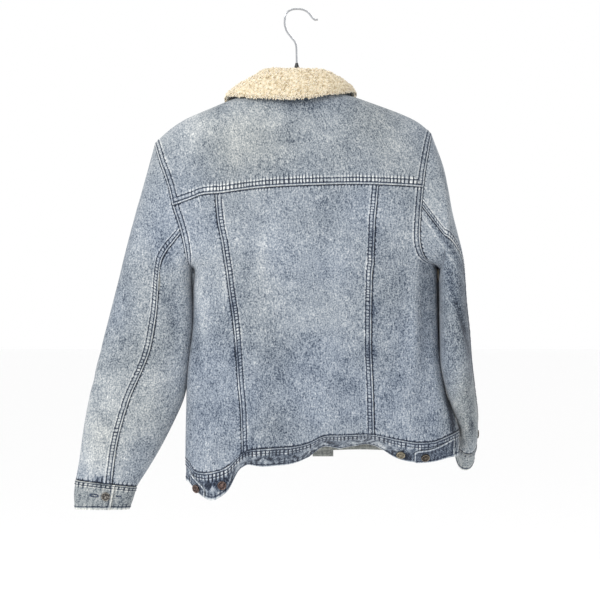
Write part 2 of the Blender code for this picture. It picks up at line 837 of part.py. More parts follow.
def sleeve_grids(rows, loop, seam_near):
    """Grids of the sleeve's top and under pieces, rows running down from the armhole."""
    centre = (loop.max(0) + loop.min(0)) / 2
    half = (loop.max(0) - loop.min(0)) / 2
    up = (loop[:, 2] - centre[2]) / half[2]
    back = -(loop[:, 1] - centre[1]) / half[1]
    turns = np.degrees(np.unwrap(np.arctan2(back, up)))
    turns[0], turns[-1] = 0, 360
    armpit = int(np.argmin(loop[:, 2]))
    turns = np.interp(turns, [0, turns[armpit], 360], [0, 180, 360])
    at_seam = 1 + int(np.argmin(np.abs(loop[1:armpit, 2] - seam_near)))
    at_front = int(np.argmin(np.abs(turns - FRONT_SEAM_TURN)))
    knots = [loop]
    for row in rows:
        anchors = [turns[at_front] - 360, turns[at_seam], 180, turns[at_front], turns[at_seam] + 360]
        wanted = [FRONT_SEAM_TURN - 360, row.seam, 180, FRONT_SEAM_TURN, row.seam + 360]
        knots.append(ring(row, np.interp(turns, anchors, wanted)))
    grid = through(knots, [3] + [2] * (len(rows) - 1))
    top = np.concatenate([grid[:, at_front:-1], grid[:, : at_seam + 1]], axis=1)
    under = grid[:, at_seam : at_front + 1]
    return top, under


def cuff_grid(rows, start, columns=30):
    """A cuff strip whose last stretch passes under its first."""
    swept = np.linspace(0, 360 + CUFF_LAP, columns)
    turns = start - swept
    under = (WALL + SEAM_GAP + 0.2) * ease((swept - CUFF_UNDER_TURN) / CUFF_LAP)
    rings = []
    for row in rows:
        full = ring(row, turns)
        less = row._replace(half_u=row.half_u - CUFF_SHRINK, half_v=row.half_v - CUFF_SHRINK)
        small = ring(less, turns)
        inward = (small - full) / np.linalg.norm(small - full, axis=-1, keepdims=True)
        rings.append(full + inward * under[:, None])
    return through(rings[::-1], [2] * (len(rows) - 1))


def neck_base(turn):
    """The collar's foot, just above the neck edge, at a turn from the centre back."""
    limit = NECK_SHOULDER_TURN
    if abs(turn) <= limit:
        x, roll = neck_plan(turn)
        foot = shoulder_point(np.float64(x), roll)
    else:
        x0, roll0 = neck_plan(math.copysign(limit, turn))
        start = shoulder_point(np.float64(x0), roll0)
        share = (abs(turn) - limit) / (180 - limit)
        reach = abs(x0 - NECK_X)
        x = NECK_X + math.copysign(reach * math.cos(share * math.pi / 2), turn)
        z = start[2] - NECK_FRONT_DROP * math.sin(share * math.pi / 2)
        foot = front_point(np.float64(x), z) + np.array([0, lap_height(x, z), 0])
    return foot


def collar_grid():
    """The line between the upper and under collar: foot, fold and edge at each section."""
    rows = table(COLLAR_COLUMNS, COLLAR_ROWS)
    turns = np.linspace(rows["turn"][0], rows["turn"][-1], 31)
    read = {key: smooth(rows["turn"], rows[key], turns) for key in rows}
    sections = []
    for k, turn in enumerate(turns):
        fold = np.array([read[key][k] for key in ("fold_x", "fold_y", "fold_z")])
        edge = np.array([read[key][k] for key in ("edge_x", "edge_y", "edge_z")])
        out = np.array([math.sin(math.radians(turn)), -math.cos(math.radians(turn)), 0])
        up = np.array([0, 0, 1.0])
        foot = neck_base(turn)
        rise = unit(np.array([NECK_X - foot[0], 0, 60]))
        lift = COLLAR_LIFT + COLLAR_FRONT_LIFT * ease((abs(turn) - 80) / 40)
        foot = foot - out * (WALL / 2) + rise * lift
        inner = fold - (out + up) * FOLD_RADIUS
        outer = fold + (out - up) * FOLD_RADIUS
        side, drop = FOLD_RADIUS * 0.71, FOLD_RADIUS * 0.29
        sections.append(
            [
                foot,
                (foot + inner) / 2,
                inner,
                fold - out * side - up * drop,
                fold,
                fold + out * side - up * drop,
                outer,
                (outer + edge) / 2 + out * 4 + up * 2,
                edge,
            ]
        )
    return np.array(sections).transpose(1, 0, 2)


def build_collar(collection):
    """The sherpa upper collar over the denim under collar, folded along one line."""
    grid = collar_grid()
    normal = -normals_of(grid)
    gap = SEAM_GAP / 2
    upper = grid + normal * (gap + PILE_WALL)
    make_wall("collar", upper, grid + normal * gap, -1, PILE, collection)
    under = slice(4, -1)
    face = grid[:, under] - normal[:, under] * gap
    back = face - normal[:, under] * UNDER_WALL
    make_wall("under_collar", face, back, -1, DENIM, collection)


def turned(name, profile, colour, collection, metallic=0.0, roughness=0.4, steps=12):
    """A solid turned about Z from a profile of (radius, z) points, top to bottom."""
    mesh = bpy.data.meshes.new(name)
    points = [(radius * MM, 0, z * MM) for radius, z in profile]
    edges = [(i, i + 1) for i in range(len(points) - 1)]
    mesh.from_pydata(points, edges, [])
    obj = bpy.data.objects.new(name, mesh)
    collection.objects.link(obj)
    screw = obj.modifiers.new("Turn", "SCREW")
    screw.steps = screw.render_steps = steps
    screw.use_merge_vertices = True
    screw.merge_threshold = 0.00001
    screw.use_smooth_shade = True
    mesh.materials.append(material(name, colour, metallic, roughness))
    return obj


def button(name, seat, normal, collection):
    """A shank button standing on a point of the cloth."""
    top = SHANK_HEIGHT + BUTTON_HEIGHT
    profile = (
        (0, top - 0.6),
        (BUTTON_RADIUS * 0.7, top - 0.2),
        (BUTTON_RADIUS * 0.9, top),
        (BUTTON_RADIUS, top - 1.0),
        (BUTTON_RADIUS - 0.4, SHANK_HEIGHT),
        (SHANK_RADIUS, SHANK_HEIGHT),
        (SHANK_RADIUS, 0),
        (0, 0),
    )
    obj = turned(name, profile, COPPER, collection, metallic=0.9, roughness=0.45)
    axis = np.array(normal) / np.linalg.norm(normal)
    obj.rotation_mode = "QUATERNION"
    obj.rotation_quaternion = Vector(axis.tolist()).to_track_quat("Z", "Y")
    obj.location = [float(v) * MM for v in seat + axis * SEAM_GAP]
    return obj


def wire(name, points, radius, colour, collection, metallic=0.0, roughness=0.4):
    """A round wire along points."""
    data = bpy.data.curves.new(name, "CURVE")
    data.dimensions = "3D"
    data.bevel_depth = radius * MM
    data.bevel_resolution = 2
    data.use_fill_caps = True
    spline = data.splines.new("POLY")
    spline.points.add(len(points) - 1)
    for slot, point in zip(spline.points, points):
        slot.co = (*[float(v) * MM for v in point], 1)
    obj = bpy.data.objects.new(name, data)
    collection.objects.link(obj)
    data.materials.append(material(name, colour, metallic, roughness))
    return obj


def build_body(panels):
    """The back, the yoke, the fronts and the hem band."""
    lines = back_layout()
    low, top = centre_lines(lines)
    for side in ("left", "right"):
        line = lines[side]
        flat = coons(line["low"], line["top"], line["outer"], line["inner"])
        grid = back_point(flat[..., 0], flat[..., 1])
        fade = ease((line["outer"][:, 1] - ARMPIT_Z) / 20)
        raised = fell_rows(grid.shape[:2], left=True, fade=fade)
        if side == "right":
            grid, raised = grid[:, ::-1], raised[:, ::-1]
        panels.add(f"back_side_{side}", grid, 1, DENIM, raised)
    flat = coons(low, top, lines["left"]["inner"], lines["right"]["inner"])
    grid = back_point(flat[..., 0], flat[..., 1])
    panels.add("back_centre", grid, 1, DENIM, fell_rows(grid.shape[:2], left=True, right=True))

    edges = yoke_edges(lines, top)
    above = coons(edges["bottom"], edges["top"], edges["left"], edges["right"])
    grid = shoulder_point(above[..., 0], above[..., 1])
    base_x = edges["seam"][:, 0]
    bands = []
    for rise in (0.0, YOKE_FELL_WIDTH):
        share = rise / (YOKE_FELL_WIDTH + FELL_EDGE)
        x = base_x + (edges["bottom"][:, 0] - base_x) * share
        roll = roll_of(x, smooth(YOKE["x"], YOKE["z"], base_x) + rise, -1)
        bands.append(shoulder_point(x, roll))
    grid = np.concatenate([np.stack(bands), grid])
    raised = fell_rows(grid.shape[:2], left=True, right=True, bottom=True)
    panels.add("back_yoke", grid, 1, DENIM, raised)

    for side in ("left", "right"):
        grid = front_grid(side, lines, edges)
        heights = grid[:, 0, 2]
        fade = ease((heights - ARMPIT_Z) / 20)
        raised = fell_rows(grid.shape[:2], left=True, fade=fade)
        if side == "right":
            grid, raised = grid[:, ::-1], raised[:, ::-1]
        panels.add(f"front_{side}", grid, -1, DENIM, raised)
    return lines, low


def build_band(panels, lines, low):
    """The hem band in three pieces, and what lies on it."""
    columns = np.concatenate(
        [lines["left"]["low"][:, 0], low[1:-1, 0], lines["right"]["low"][::-1, 0]]
    )
    shares = (1.0, 0.75, 0.5, 0.25, 0.0)
    grid = strip(columns, shares, lambda x, s: band_point(x, s))
    panels.add("waistband_back", grid, 1, DENIM_DARK, gap=BAND_GAP)
    for side in ("left", "right"):
        front = panels.items[f"front_{side}"]["grid"]
        x = front[0, :, 0]
        lap = 1.0 if side == "left" else 0.0
        grid = strip(x, (1.0, 0.5, 0.0), lambda c, s: band_point(c, s, front=True, lap=lap))
        edge = 0 if side == "left" else -1
        grid[:, edge] = panels.items["waistband_back"]["grid"][::2, edge]
        panels.add(f"waistband_{side}", grid, -1, DENIM_DARK, gap=BAND_GAP)


def neck_front_z(x):
    """Height of the front neck edge at x."""
    side = -1 if x < NECK_X else 1
    corner = neck_base(side * NECK_SHOULDER_TURN)
    share = min(1.0, abs(x - NECK_X) / abs(corner[0] - NECK_X))
    return corner[2] - NECK_FRONT_DROP * math.sqrt(1 - share**2)


def build_placket(panels):
    """The button strip along the left front's edge, on that edge's own rows."""
    band = panels.items["waistband_left"]["grid"][:-1, -1, 2]
    edge = panels.items["front_left"]["grid"][:, -1, 2]
    z = np.concatenate([[PLACKET_LOW_Z], band, edge])
    across = np.linspace(0, PLACKET_WIDTH, 4)
    top_x = placket_x(edge[-1]) + across
    step = np.array([neck_front_z(float(value)) for value in top_x]) - edge[-1]
    share = np.clip((z - ARMPIT_Z) / (edge[-1] - ARMPIT_Z), 0, 1) ** 3
    step[0] = 0
    rows = []
    for height, part in zip(z, share):
        rows.append(front_point(placket_x(height) + across, height + step * part, lap=1.0))
    panels.add("front_placket", np.stack(rows), -1, DENIM_DARK, gap=3 * SEAM_GAP)


def on_band(panels, x, share):
    """A point and its unit normal on the back band's own facets."""
    grid = panels.items["waistband_back"]["grid"]
    at = (1 - share) * (len(grid) - 1)
    row = min(int(at), len(grid) - 2)
    line = grid[row] + (grid[row + 1] - grid[row]) * (at - row)
    rising = grid[row + 1] - grid[row]
    read = [[np.interp(x + d, line[:, 0], line[:, k]) for k in range(3)] for d in (-2, 0, 2)]
    up = [np.interp(x, line[:, 0], rising[:, k]) for k in range(3)]
    before, point, after = np.array(read)
    return point, unit(np.cross(after - before, up))


def build_tab(panels, side):
    """One side tab: a strip on the back band, from the side seam to its free end."""
    rows = table(TAB_COLUMNS, TAB_ROWS[side])
    shares = np.linspace(1, 0, 5)
    grid = []
    for share in shares:
        down = rows["top"] + (TAB_FOOT - rows["top"]) * share
        line = []
        for x, s in zip(rows["x"], down):
            point, normal = on_band(panels, x, s)
            line.append(point + normal * (TAB_GAP + TAB_WALL))
        grid.append(line)
    grid = np.array(grid)
    if side == "right":
        grid = grid[:, ::-1]
    panels.add(f"side_tab_{side}", grid, 1, DENIM_DARK, wall=TAB_WALL)


def build_buttons(panels, collection):
    """Band, cuff and front buttons."""
    for name, x, share, lift in BAND_BUTTONS:
        seat, normal = on_band(panels, x, share)
        button(name, seat + normal * lift, normal, collection)
    for side, rows in (("left", LEFT_CUFF_ROWS), ("right", RIGHT_CUFF_ROWS)):
        turns = np.array([CUFF_BUTTON_TURN[side] + d for d in (-3, 0, 3)])
        middle, low = Ring(*rows[1]), Ring(*rows[2])
        before, here, after = ring(middle, turns)
        axis = ring(low, turns)[1] - here
        normal = np.cross(after - before, axis)
        centre = np.array([middle.x, middle.y, middle.z])
        normal *= np.sign(np.dot(normal, here - centre)) / np.linalg.norm(normal)
        button(f"cuff_button_{side}", here, normal, collection)
    for number, z in enumerate(np.linspace(FRONT_BUTTON_TOP, FRONT_BUTTON_LOW, FRONT_BUTTONS)):
        seat = front_point(placket_x(z) + PLACKET_WIDTH / 2, z, lap=1.0)
        button(f"front_button_{number + 1}", seat, (0, 1, 0), collection)


def build_hanger(collection):
    """The chrome hook, the black neck it stands in, and the shoulder bar under the yoke."""
    rows = table(HOOK_COLUMNS, HOOK_ROWS)
    run = np.concatenate([[0], np.cumsum(np.hypot(np.diff(rows["x"]), np.diff(rows["z"])))])
    at = np.linspace(0, run[-1], 32)
    x, z = smooth(run, rows["x"], at), smooth(run, rows["z"], at)
    path = np.stack([x, np.zeros_like(x), z], -1)
    wire("hanger_hook", path, WIRE_RADIUS, CHROME, collection, 1.0, 0.15)

    bar_x = np.linspace(BAR_LEFT_X, BAR_RIGHT_X, 26)
    neck_dip = BAR_NECK_DIP * ease((105 - np.abs(bar_x - NECK_X)) / 20)
    bar_z = ridge_z(bar_x) - WALL - BAR_RADIUS - BAR_CLEARANCE - neck_dip
    path = np.stack([bar_x, np.zeros_like(bar_x), bar_z], -1)
    wire("hanger_bar", path, BAR_RADIUS, BLACK, collection, 0.0, 0.5)

    seat = float(ridge_z(0.0)) - WALL - BAR_CLEARANCE - BAR_NECK_DIP + SEAM_GAP + 0.2
    profile = (
        (0, NECK_TOP_Z),
        (2.2, NECK_TOP_Z),
        (NECK_CONE_RADIUS - 0.6, NECK_TOP_Z - 12),
        (NECK_CONE_RADIUS, NECK_TOP_Z - 14),
        (NECK_CONE_RADIUS, seat),
        (0, seat),
    )
    neck = turned("hanger_neck", profile, BLACK, collection)
    neck.location = (HOOK_ROWS[0][0] * MM, 0, 0)


def build_sleeve(panels, side, rows, cuff_rows):
    """A two-piece sleeve on its armhole, and its cuff."""
    loop = armhole_loop(side, panels.items)
    top, under = sleeve_grids([Ring(*row) for row in rows], loop, SLEEVE_SEAM_Z[side])
    outward = -1 if side == "left" else 1
    panels.add(f"sleeve_{side}_top", top, outward, DENIM, gap=SLEEVE_GAP, group=side)
    panels.add(f"sleeve_{side}_under", under, outward, DENIM, gap=ARMPIT_GAP, group=side)
    cuff = cuff_grid([Ring(*row) for row in cuff_rows], CUFF_START_TURN[side])
    panels.add(f"cuff_{side}", cuff, outward, DENIM_DARK)


def main():
    for obj in list(bpy.data.objects):
        bpy.data.objects.remove(obj, do_unlink=True)
    collection = bpy.data.collections.new(NAME)
    bpy.context.scene.collection.children.link(collection)
    panels = Panels()
    lines, low = build_body(panels)
    build_band(panels, lines, low)
    build_placket(panels)
    build_sleeve(panels, "left", LEFT_SLEEVE_ROWS, LEFT_CUFF_ROWS)
    build_sleeve(panels, "right", RIGHT_SLEEVE_ROWS, RIGHT_CUFF_ROWS)
    for side in ("left", "right"):
        build_tab(panels, side)
    panels.build(collection)
    build_collar(collection)
    build_buttons(panels, collection)
    build_hanger(collection)


if __name__ == "__main__":
    main()
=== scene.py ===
"""Looks of a sherpa lined denim jacket, buttoned and hung on a clothes hanger.

The cloth is laid again on the form of the solids, finely enough for its felled seams, puckers
and creases, and then stitched, buttoned and finished. +X is the wearer's right, +Y forward and
+Z up. Form functions work in millimetres; meshes are made in metres.
"""

import logging
import math
from collections.abc import Sequence
from dataclasses import dataclass, field
from enum import Enum
from typing import Any

import bpy
import numpy as np
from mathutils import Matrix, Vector, noise


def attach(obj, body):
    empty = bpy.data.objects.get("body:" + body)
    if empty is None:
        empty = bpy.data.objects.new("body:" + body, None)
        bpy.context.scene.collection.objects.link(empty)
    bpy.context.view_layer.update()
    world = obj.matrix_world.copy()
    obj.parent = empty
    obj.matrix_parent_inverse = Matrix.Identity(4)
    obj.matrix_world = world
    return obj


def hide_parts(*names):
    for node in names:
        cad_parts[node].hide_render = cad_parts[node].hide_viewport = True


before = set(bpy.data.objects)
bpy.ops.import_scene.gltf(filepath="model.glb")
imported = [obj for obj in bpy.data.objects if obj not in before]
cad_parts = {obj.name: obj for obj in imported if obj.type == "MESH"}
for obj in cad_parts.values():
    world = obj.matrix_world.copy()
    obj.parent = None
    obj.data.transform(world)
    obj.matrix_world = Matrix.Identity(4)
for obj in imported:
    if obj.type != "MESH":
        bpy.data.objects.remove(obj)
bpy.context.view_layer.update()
LOG = logging.getLogger("jacket")
MM = 0.001
Reading = Any
Table = tuple[tuple[float, ...], ...]


# ---- Form of the cloth, in millimetres: the solids' sizes and surfaces, but for the left cuff ----

WALL = 3.0
SEAM_GAP = 0.3
FELL_WIDTH = 11.5
FELL_EDGE = 2.0
FELL_RAISE = 0.9
YOKE_FELL_WIDTH = 13.0

# Body: the outline of each level from the hem to the armpit, and above it the line to which
# the back and front surfaces would close if the armholes were not cut.
BODY_COLUMNS = "z left right princess_left princess_right back front"
BODY_ROWS = (
    (-860, -186, 262, -93, 128, 54, 50),
    (-800, -190, 268, -95, 127, 57, 52),
    (-762, -191, 272, -95, 127, 59, 53),
    (-714, -191, 272, -96, 127, 61, 55),
    (-683, -190, 262, -97, 126, 63, 56),
    (-640, -188, 247, -101, 125, 65, 58),
    (-578, -182, 239, -105, 122, 67, 60),
    (-525, -178, 238, -110, 122, 68, 61),
    (-471, -178, 238, -118, 123, 68, 62),
    (-438, -181, 237, -122, 125, 68, 62),
    (-432, -190, 243, -123, 126, 68, 62),
    (-420, -212, 256, -125, 126, 68, 62),
    (-400, -240, 272, -128, 127, 67, 62),
    (-350, -275, 290, -137, 129, 66, 61),
    (-300, -292, 295, -140, 135, 64, 60),
    (-200, -298, 292, -142, 138, 62, 58),
    (-100, -298, 290, -142, 138, 60, 56),
)
SIDE_POWER = 3.0
ARMPIT_Z = -438
DOME_Z = -345

# Shoulder ridge, and how square the cloth rolls over it
RIDGE_COLUMNS = "x z power"
RIDGE_ROWS = (
    (-244, -228, 2.3), (-235, -218, 2.3), (-218, -203, 2.4), (-201, -191, 2.5), (-184, -182, 2.6),
    (-150, -168, 2.9), (-122, -156, 3.3), (-84, -143, 4.0), (-45, -130, 4.0), (-9, -125, 4.0),
    (30, -130, 4.0), (66, -141, 4.0), (93, -148, 3.6), (122, -158, 3.2), (156, -170, 2.7),
    (190, -184, 2.5), (207, -194, 2.4), (220, -205, 2.3), (226, -212, 2.3),
)

# Armholes
ARMHOLE_COLUMNS = "z back_left back_right front_left front_right"
ARMHOLE_ROWS = (
    (-438, -181, 237, -181, 237),
    (-434, -184, 232, -184, 234),
    (-428, -187, 219, -187, 230),
    (-408, -191, 207, -190, 221),
    (-384, -196, 204, -192, 214),
    (-360, -203, 205, -197, 209),
    (-333, -212, 207, -205, 207),
    (-302, -218, 210, -214, 208),
    (-272, -230, 214, -226, 212),
    (-250, -237, 218, -235, 216),
    (-228, -244, 222, -244, 222),
    (-212, -250, 226, -250, 226),
)

# Lines sewn across the back, by x
YOKE_COLUMNS = "x z"
YOKE_ROWS = (
    (-213, -334), (-184, -324), (-159, -315), (-132, -313), (-81, -306), (-14, -301), (105, -298),
    (142, -299), (184, -301), (210, -303),
)
BAND_COLUMNS = "x top low front_top front_low"
BAND_ROWS = (
    (-191, -763, -799, -763, -799),
    (-184, -769, -803, -759, -797),
    (-176, -781, -810, -755, -795),
    (-158, -785, -828, -747, -789),
    (-143, -783, -831, -740, -783),
    (-123, -776, -819, -731, -774),
    (-101, -757, -784, -723, -767),
    (-88, -747, -772, -718, -762),
    (-65, -744, -775, -714, -758),
    (-9, -740, -770, -710, -754),
    (14, -735, -761, -709, -753),
    (40, -722, -741, -708, -752),
    (60, -721, -745, -707, -751),
    (86, -720, -741, -706, -750),
    (118, -719, -737, -706, -750),
    (147, -724, -751, -707, -751),
    (173, -729, -763, -709, -753),
    (200, -733, -768, -711, -755),
    (230, -731, -766, -713, -757),
    (252, -723, -760, -713, -757),
    (272, -714, -757, -714, -757),
)
BAND_HEIGHT = 44

# Neck
NECK_X = -9
NECK_HALF = 77
NECK_BACK_Y = -47
NECK_SHOULDER_TURN = 102
NECK_FRONT_DROP = 72
SHOULDER_SEAM_TIP = 25

# Ends of the back's seams: the yoke's at the armholes, the princess seams' and the hem's
YOKE_END_X = 211.0
PRINCESS_TOP_Z = -310
PRINCESS_LOW_Z = -740
HEM_END_X = {"left": -191.0, "right": 272.0}
PLACKET_FOOT_Z = -720
# First station of a panel's edge past its felled band
PAST_FELL = 24

# Front opening: the left front laps over the right one, and its strip's seam slants as it hangs
PLACKET_COLUMNS = "z seam"
PLACKET_ROWS = (
    (-700, 24), (-440, -2), (-200, -27),
)
LAP_BLEND = 35
LAP_GAP = 1.1

# Broad folds pressed into the back: centre, half length down the cloth, half width, depth
# (outwards is positive) and lean of the fold in degrees
FOLD_COLUMNS = "x z length width depth lean"
FOLD_ROWS = (
    (222, -520, 90, 13, -6.0, 2),
    (206, -500, 110, 15, 3.0, 2),
    (-166, -500, 70, 12, 3.0, -4),
    (-150, -640, 80, 20, -2.5, -6),
    (50, -660, 75, 26, 3.5, 8),
    (-30, -700, 55, 22, -3.0, -6),
    (-150, -740, 40, 24, 5.0, 10),
    (180, -690, 55, 24, 4.0, -14),
    (-60, -360, 60, 26, -2.0, 12),
    (150, -360, 55, 18, -2.0, -10),
)

# Sleeves: rings below the armhole. The ring's u axis points to the outer edge and leans up by
# tilt, its v axis points back and drops by pitch; seam is the back seam's turn from u to v.
LEFT_SLEEVE_ROWS = (
    (-235, 0, -425, 69, 43, 43, 0, 92),
    (-244, -2, -497, 72, 39, 31, 0, 93),
    (-260.5, -4, -580, 73.5, 35, 14, 0, 94),
    (-275.5, -5, -655, 78, 33, 5, 0, 87),
    (-295, -3, -722, 71.5, 30, 1, 0, 86),
    (-312, 0, -769, 60.6, 27, 4, 0, 90),
    (-327, 2, -804, 52, 24, 6.6, 0, 98),
)
LEFT_CUFF_ROWS = (
    (-327, 2, -804.6, 52, 24, 6.6, 0, 98),
    (-331, 3, -825, 51, 24, 4, 0, 98),
    (-334, 4, -849, 46.5, 23, 0, 0, 98),
)
RIGHT_SLEEVE_ROWS = (
    (243.5, 0, -359, 89, 66, 88, 0, 100),
    (249.5, 0, -398, 60, 70, 80, 0, 84),
    (259, 3, -451, 43, 72, 64, 0, 42),
    (263, 8, -512, 31, 78, 47, 0, 18),
    (267, 12, -565, 25, 78, 12, 0, 13),
    (270.5, 16, -600, 25, 76, 0, 6, 14),
    (279, 25, -640, 21.5, 71, 0, 18, 5),
    (291, 46, -693, 16.5, 60, 0, 32, 0),
    (290.5, 62, -720, 16.5, 52, 0, 45, -5),
)
RIGHT_CUFF_ROWS = (
    (290.5, 62.4, -720.4, 16.5, 52, 0, 45, -5),
    (289, 75, -732, 17.5, 51, 0, 48, -5),
    (287, 91, -748, 17.5, 50, 0, 50, -5),
)
RING_POWER = 2.5
FRONT_SEAM_TURN = 232
CUFF_LAP = 32
# Where the cuff's last stretch starts to dip under its first, and how far inside it is aimed
CUFF_UNDER_TURN = 330
CUFF_SHRINK = 10
CUFF_SLACK = 0.2
SLEEVE_SEAM_Z = {"left": -371, "right": -345}
# The left cuff's overlap ends 6 degrees further round than its solid's, whose turn is 98
CUFF_START_TURN = {"left": 104, "right": 5}

# Side tabs of the hem band: x, and the share down the band of the tab's upper edge
TAB_COLUMNS = "x top"
TAB_ROWS = {
    "left": ((-182, 0.32), (-179, 0.35), (-174, 0.40), (-167, 0.48), (-160, 0.58), (-157, 0.68)),
    "right": ((262, 0.2), (254, 0.22), (240, 0.28), (224, 0.34), (210, 0.38), (200, 0.42), (196, 0.5)),
}

# Collar
FOLD_RADIUS = 5.0
COLLAR_LIFT = 0.8
COLLAR_FRONT_LIFT = 4.0
# Collar sections, from the left end in front, round the back, to the right end in front:
# turn about the neck, the fold line and the fall's edge
COLLAR_COLUMNS = "turn fold_x fold_y fold_z edge_x edge_y edge_z"
COLLAR_ROWS = (
    (-172, -20, 66, -196, -62, 76, -252),
    (-140, -50, 52, -168, -108, 64, -204),
    (-126, -62, 41, -149, -119, 52, -176),
    (-112, -70, 26, -134, -122, 26, -154),
    (-90, -78, 2, -124, -119, -4, -148),
    (-60, -68, -22, -111, -106, -27, -149),
    (-32, -44, -36, -103, -64, -51, -153),
    (0, -6, -41, -102, -9, -58, -154),
    (32, 34, -36, -103, 42, -50, -148),
    (60, 54, -22, -109, 76, -27, -142),
    (90, 64, 2, -122, 90, -4, -140),
    (112, 58, 26, -133, 95, 26, -145),
    (126, 47, 42, -147, 93, 57, -173),
    (140, 34, 53, -166, 85, 67, -204),
    (172, 4, 66, -196, 46, 76, -252),
)

# Hanger
WIRE_RADIUS = 1.7
HOOK_COLUMNS = "x z"
HOOK_ROWS = (
    (-3, -89.7), (-3.4, -66), (-5, -57), (-12, -47), (-20, -36), (-23.5, -22), (-22.5, -10),
    (-16, -1.5), (-7, 1.5), (0, 1.7), (9, 0), (17, -5), (23, -12.5), (28, -16.6), (33, -16.2),
)


def table(columns: str, rows: Sequence[Sequence[float]]) -> dict[str, np.ndarray]:
    """The rows' named columns as arrays."""
    return dict(zip(columns.split(), np.array(rows, float).T))


def hermite(
    line: np.ndarray, tangent: np.ndarray, k: np.ndarray, run: np.ndarray, t: np.ndarray
) -> np.ndarray:
    """Read a cubic through values with given slopes.

    Args:
        line: the values at the knots.
        tangent: the slopes there.
        k: the knot before each place.
        run: the length of its stretch.
        t: the share of that stretch passed.

    Returns:
        The values read.
    """
    return (
        line[k] * (1 + 2 * t) * (1 - t) ** 2
        + tangent[k] * run * t * (1 - t) ** 2
        + line[k + 1] * t**2 * (3 - 2 * t)
        + tangent[k + 1] * run * t**2 * (t - 1)
    )


def smooth(xs: np.ndarray, ys: np.ndarray, at: Reading) -> np.ndarray:
    """Read a curve through (xs, ys) that never overshoots.

    Args:
        xs: rising places.
        ys: the values there.
        at: the places to read.

    Returns:
        The values read.
    """
    at = np.clip(np.asarray(at, float), xs[0], xs[-1])
    step = np.diff(xs)
    slope = np.diff(ys) / step
    inner = np.where(
        slope[:-1] * slope[1:] > 0,
        2 * slope[:-1] * slope[1:] / np.where(slope[:-1] + slope[1:] == 0, 1, slope[:-1] + slope[1:]),
        0,
    )
    tangent = np.concatenate([[slope[0]], inner, [slope[-1]]])
    k = np.clip(np.searchsorted(xs, at, side="right") - 1, 0, len(xs) - 2)
    return hermite(ys, tangent, k, step[k], (at - xs[k]) / step[k])


def ease(value: Reading) -> np.ndarray:
    """Go from 0 to 1 with level ends."""
    value = np.clip(value, 0, 1)
    return value * value * (3 - 2 * value)


BODY = table(BODY_COLUMNS, BODY_ROWS)
RIDGE = table(RIDGE_COLUMNS, RIDGE_ROWS)
ARMHOLE = table(ARMHOLE_COLUMNS, ARMHOLE_ROWS)
YOKE = table(YOKE_COLUMNS, YOKE_ROWS)
BAND = table(BAND_COLUMNS, BAND_ROWS)
FOLDS = table(FOLD_COLUMNS, FOLD_ROWS)
PLACKET = table(PLACKET_COLUMNS, PLACKET_ROWS)


def body_at(column: str, z: Reading) -> np.ndarray:
    """Read one of the body's outlines at height z."""
    return smooth(BODY["z"], BODY[column], z)


def band_at(column: str, x: Reading) -> np.ndarray:
    """Read one of the hem band's lines at x."""
    return smooth(BAND["x"], BAND[column], x)


def placket_x(z: Reading) -> np.ndarray:
    """Read the button strip's seam at height z."""
    return smooth(PLACKET["z"], PLACKET["seam"], z)


def ridge_z(x: Reading) -> np.ndarray:
    """Read the height of the shoulder ridge at x."""
    return smooth(RIDGE["x"], RIDGE["z"], x)


def ridge_power(x: Reading) -> np.ndarray:
    """Read how squarely the cloth rolls over the ridge at x."""
    return smooth(RIDGE["x"], RIDGE["power"], x)


def side_close(x: Reading, z: Reading) -> np.ndarray:
    """Give how far the section has closed towards its sides.

    Args:
        x: places across.
        z: heights.

    Returns:
        The share of full depth left at x: 0 at the sides.
    """
    left = body_at("left", z)
    right = body_at("right", z)
    across = np.clip(np.abs(2 * x - left - right) / (right - left), 0, 1)
    return (1 - across**SIDE_POWER) ** (1 / SIDE_POWER)


def dome_close(x: Reading, z: Reading) -> np.ndarray:
    """Give how far the dome has closed towards the shoulder ridge.

    Args:
        x: places across.
        z: heights.

    Returns:
        The share of full depth left at z: 0 on the ridge.
    """
    power = ridge_power(x)
    rise = np.clip((z - DOME_Z) / (ridge_z(x) - DOME_Z), 0, 1)
    return (1 - rise**power) ** (1 / power)


def fold_depth(x: Reading, z: Reading) -> np.ndarray:
    """Give the height of the broad folds above the plain surface.

    Args:
        x: places across.
        z: heights.

    Returns:
        The height in millimetres.
    """
    total = np.zeros(np.broadcast(x, z).shape)
    for fx, fz, length, width, depth, lean in zip(*FOLDS.values()):
        turn = math.radians(lean)
        along = (z - fz) * math.cos(turn) + (x - fx) * math.sin(turn)
        across = (x - fx) * math.cos(turn) - (z - fz) * math.sin(turn)
        total = total + depth * np.exp(-((along / length) ** 2) - (across / width) ** 2)
    return total


def back_point(x: Reading, z: Reading) -> np.ndarray:
    """Give the back's outer surface at x and height z.

    Args:
        x: places across.
        z: heights.

    Returns:
        Points in the last axis.
    """
    close = side_close(x, z) * dome_close(x, z)
    depth = body_at("back", z) * close
    return np.stack([x, -depth - fold_depth(x, z) * ease(close * 1.6 - 0.3), z], -1)


def lap_height(x: Reading, z: Reading) -> np.ndarray:
    """Give how far the left front stands off the right one below it."""
    return (WALL + LAP_GAP) * ease((x - placket_x(z) + LAP_BLEND) / LAP_BLEND)


def front_point(x: Reading, z: Reading, lap: float = 0.0) -> np.ndarray:
    """Give the front's outer surface at x and height z."""
    depth = body_at("front", z) * side_close(x, z) * dome_close(x, z)
    return np.stack([x, depth + lap * lap_height(x, z), z], -1)


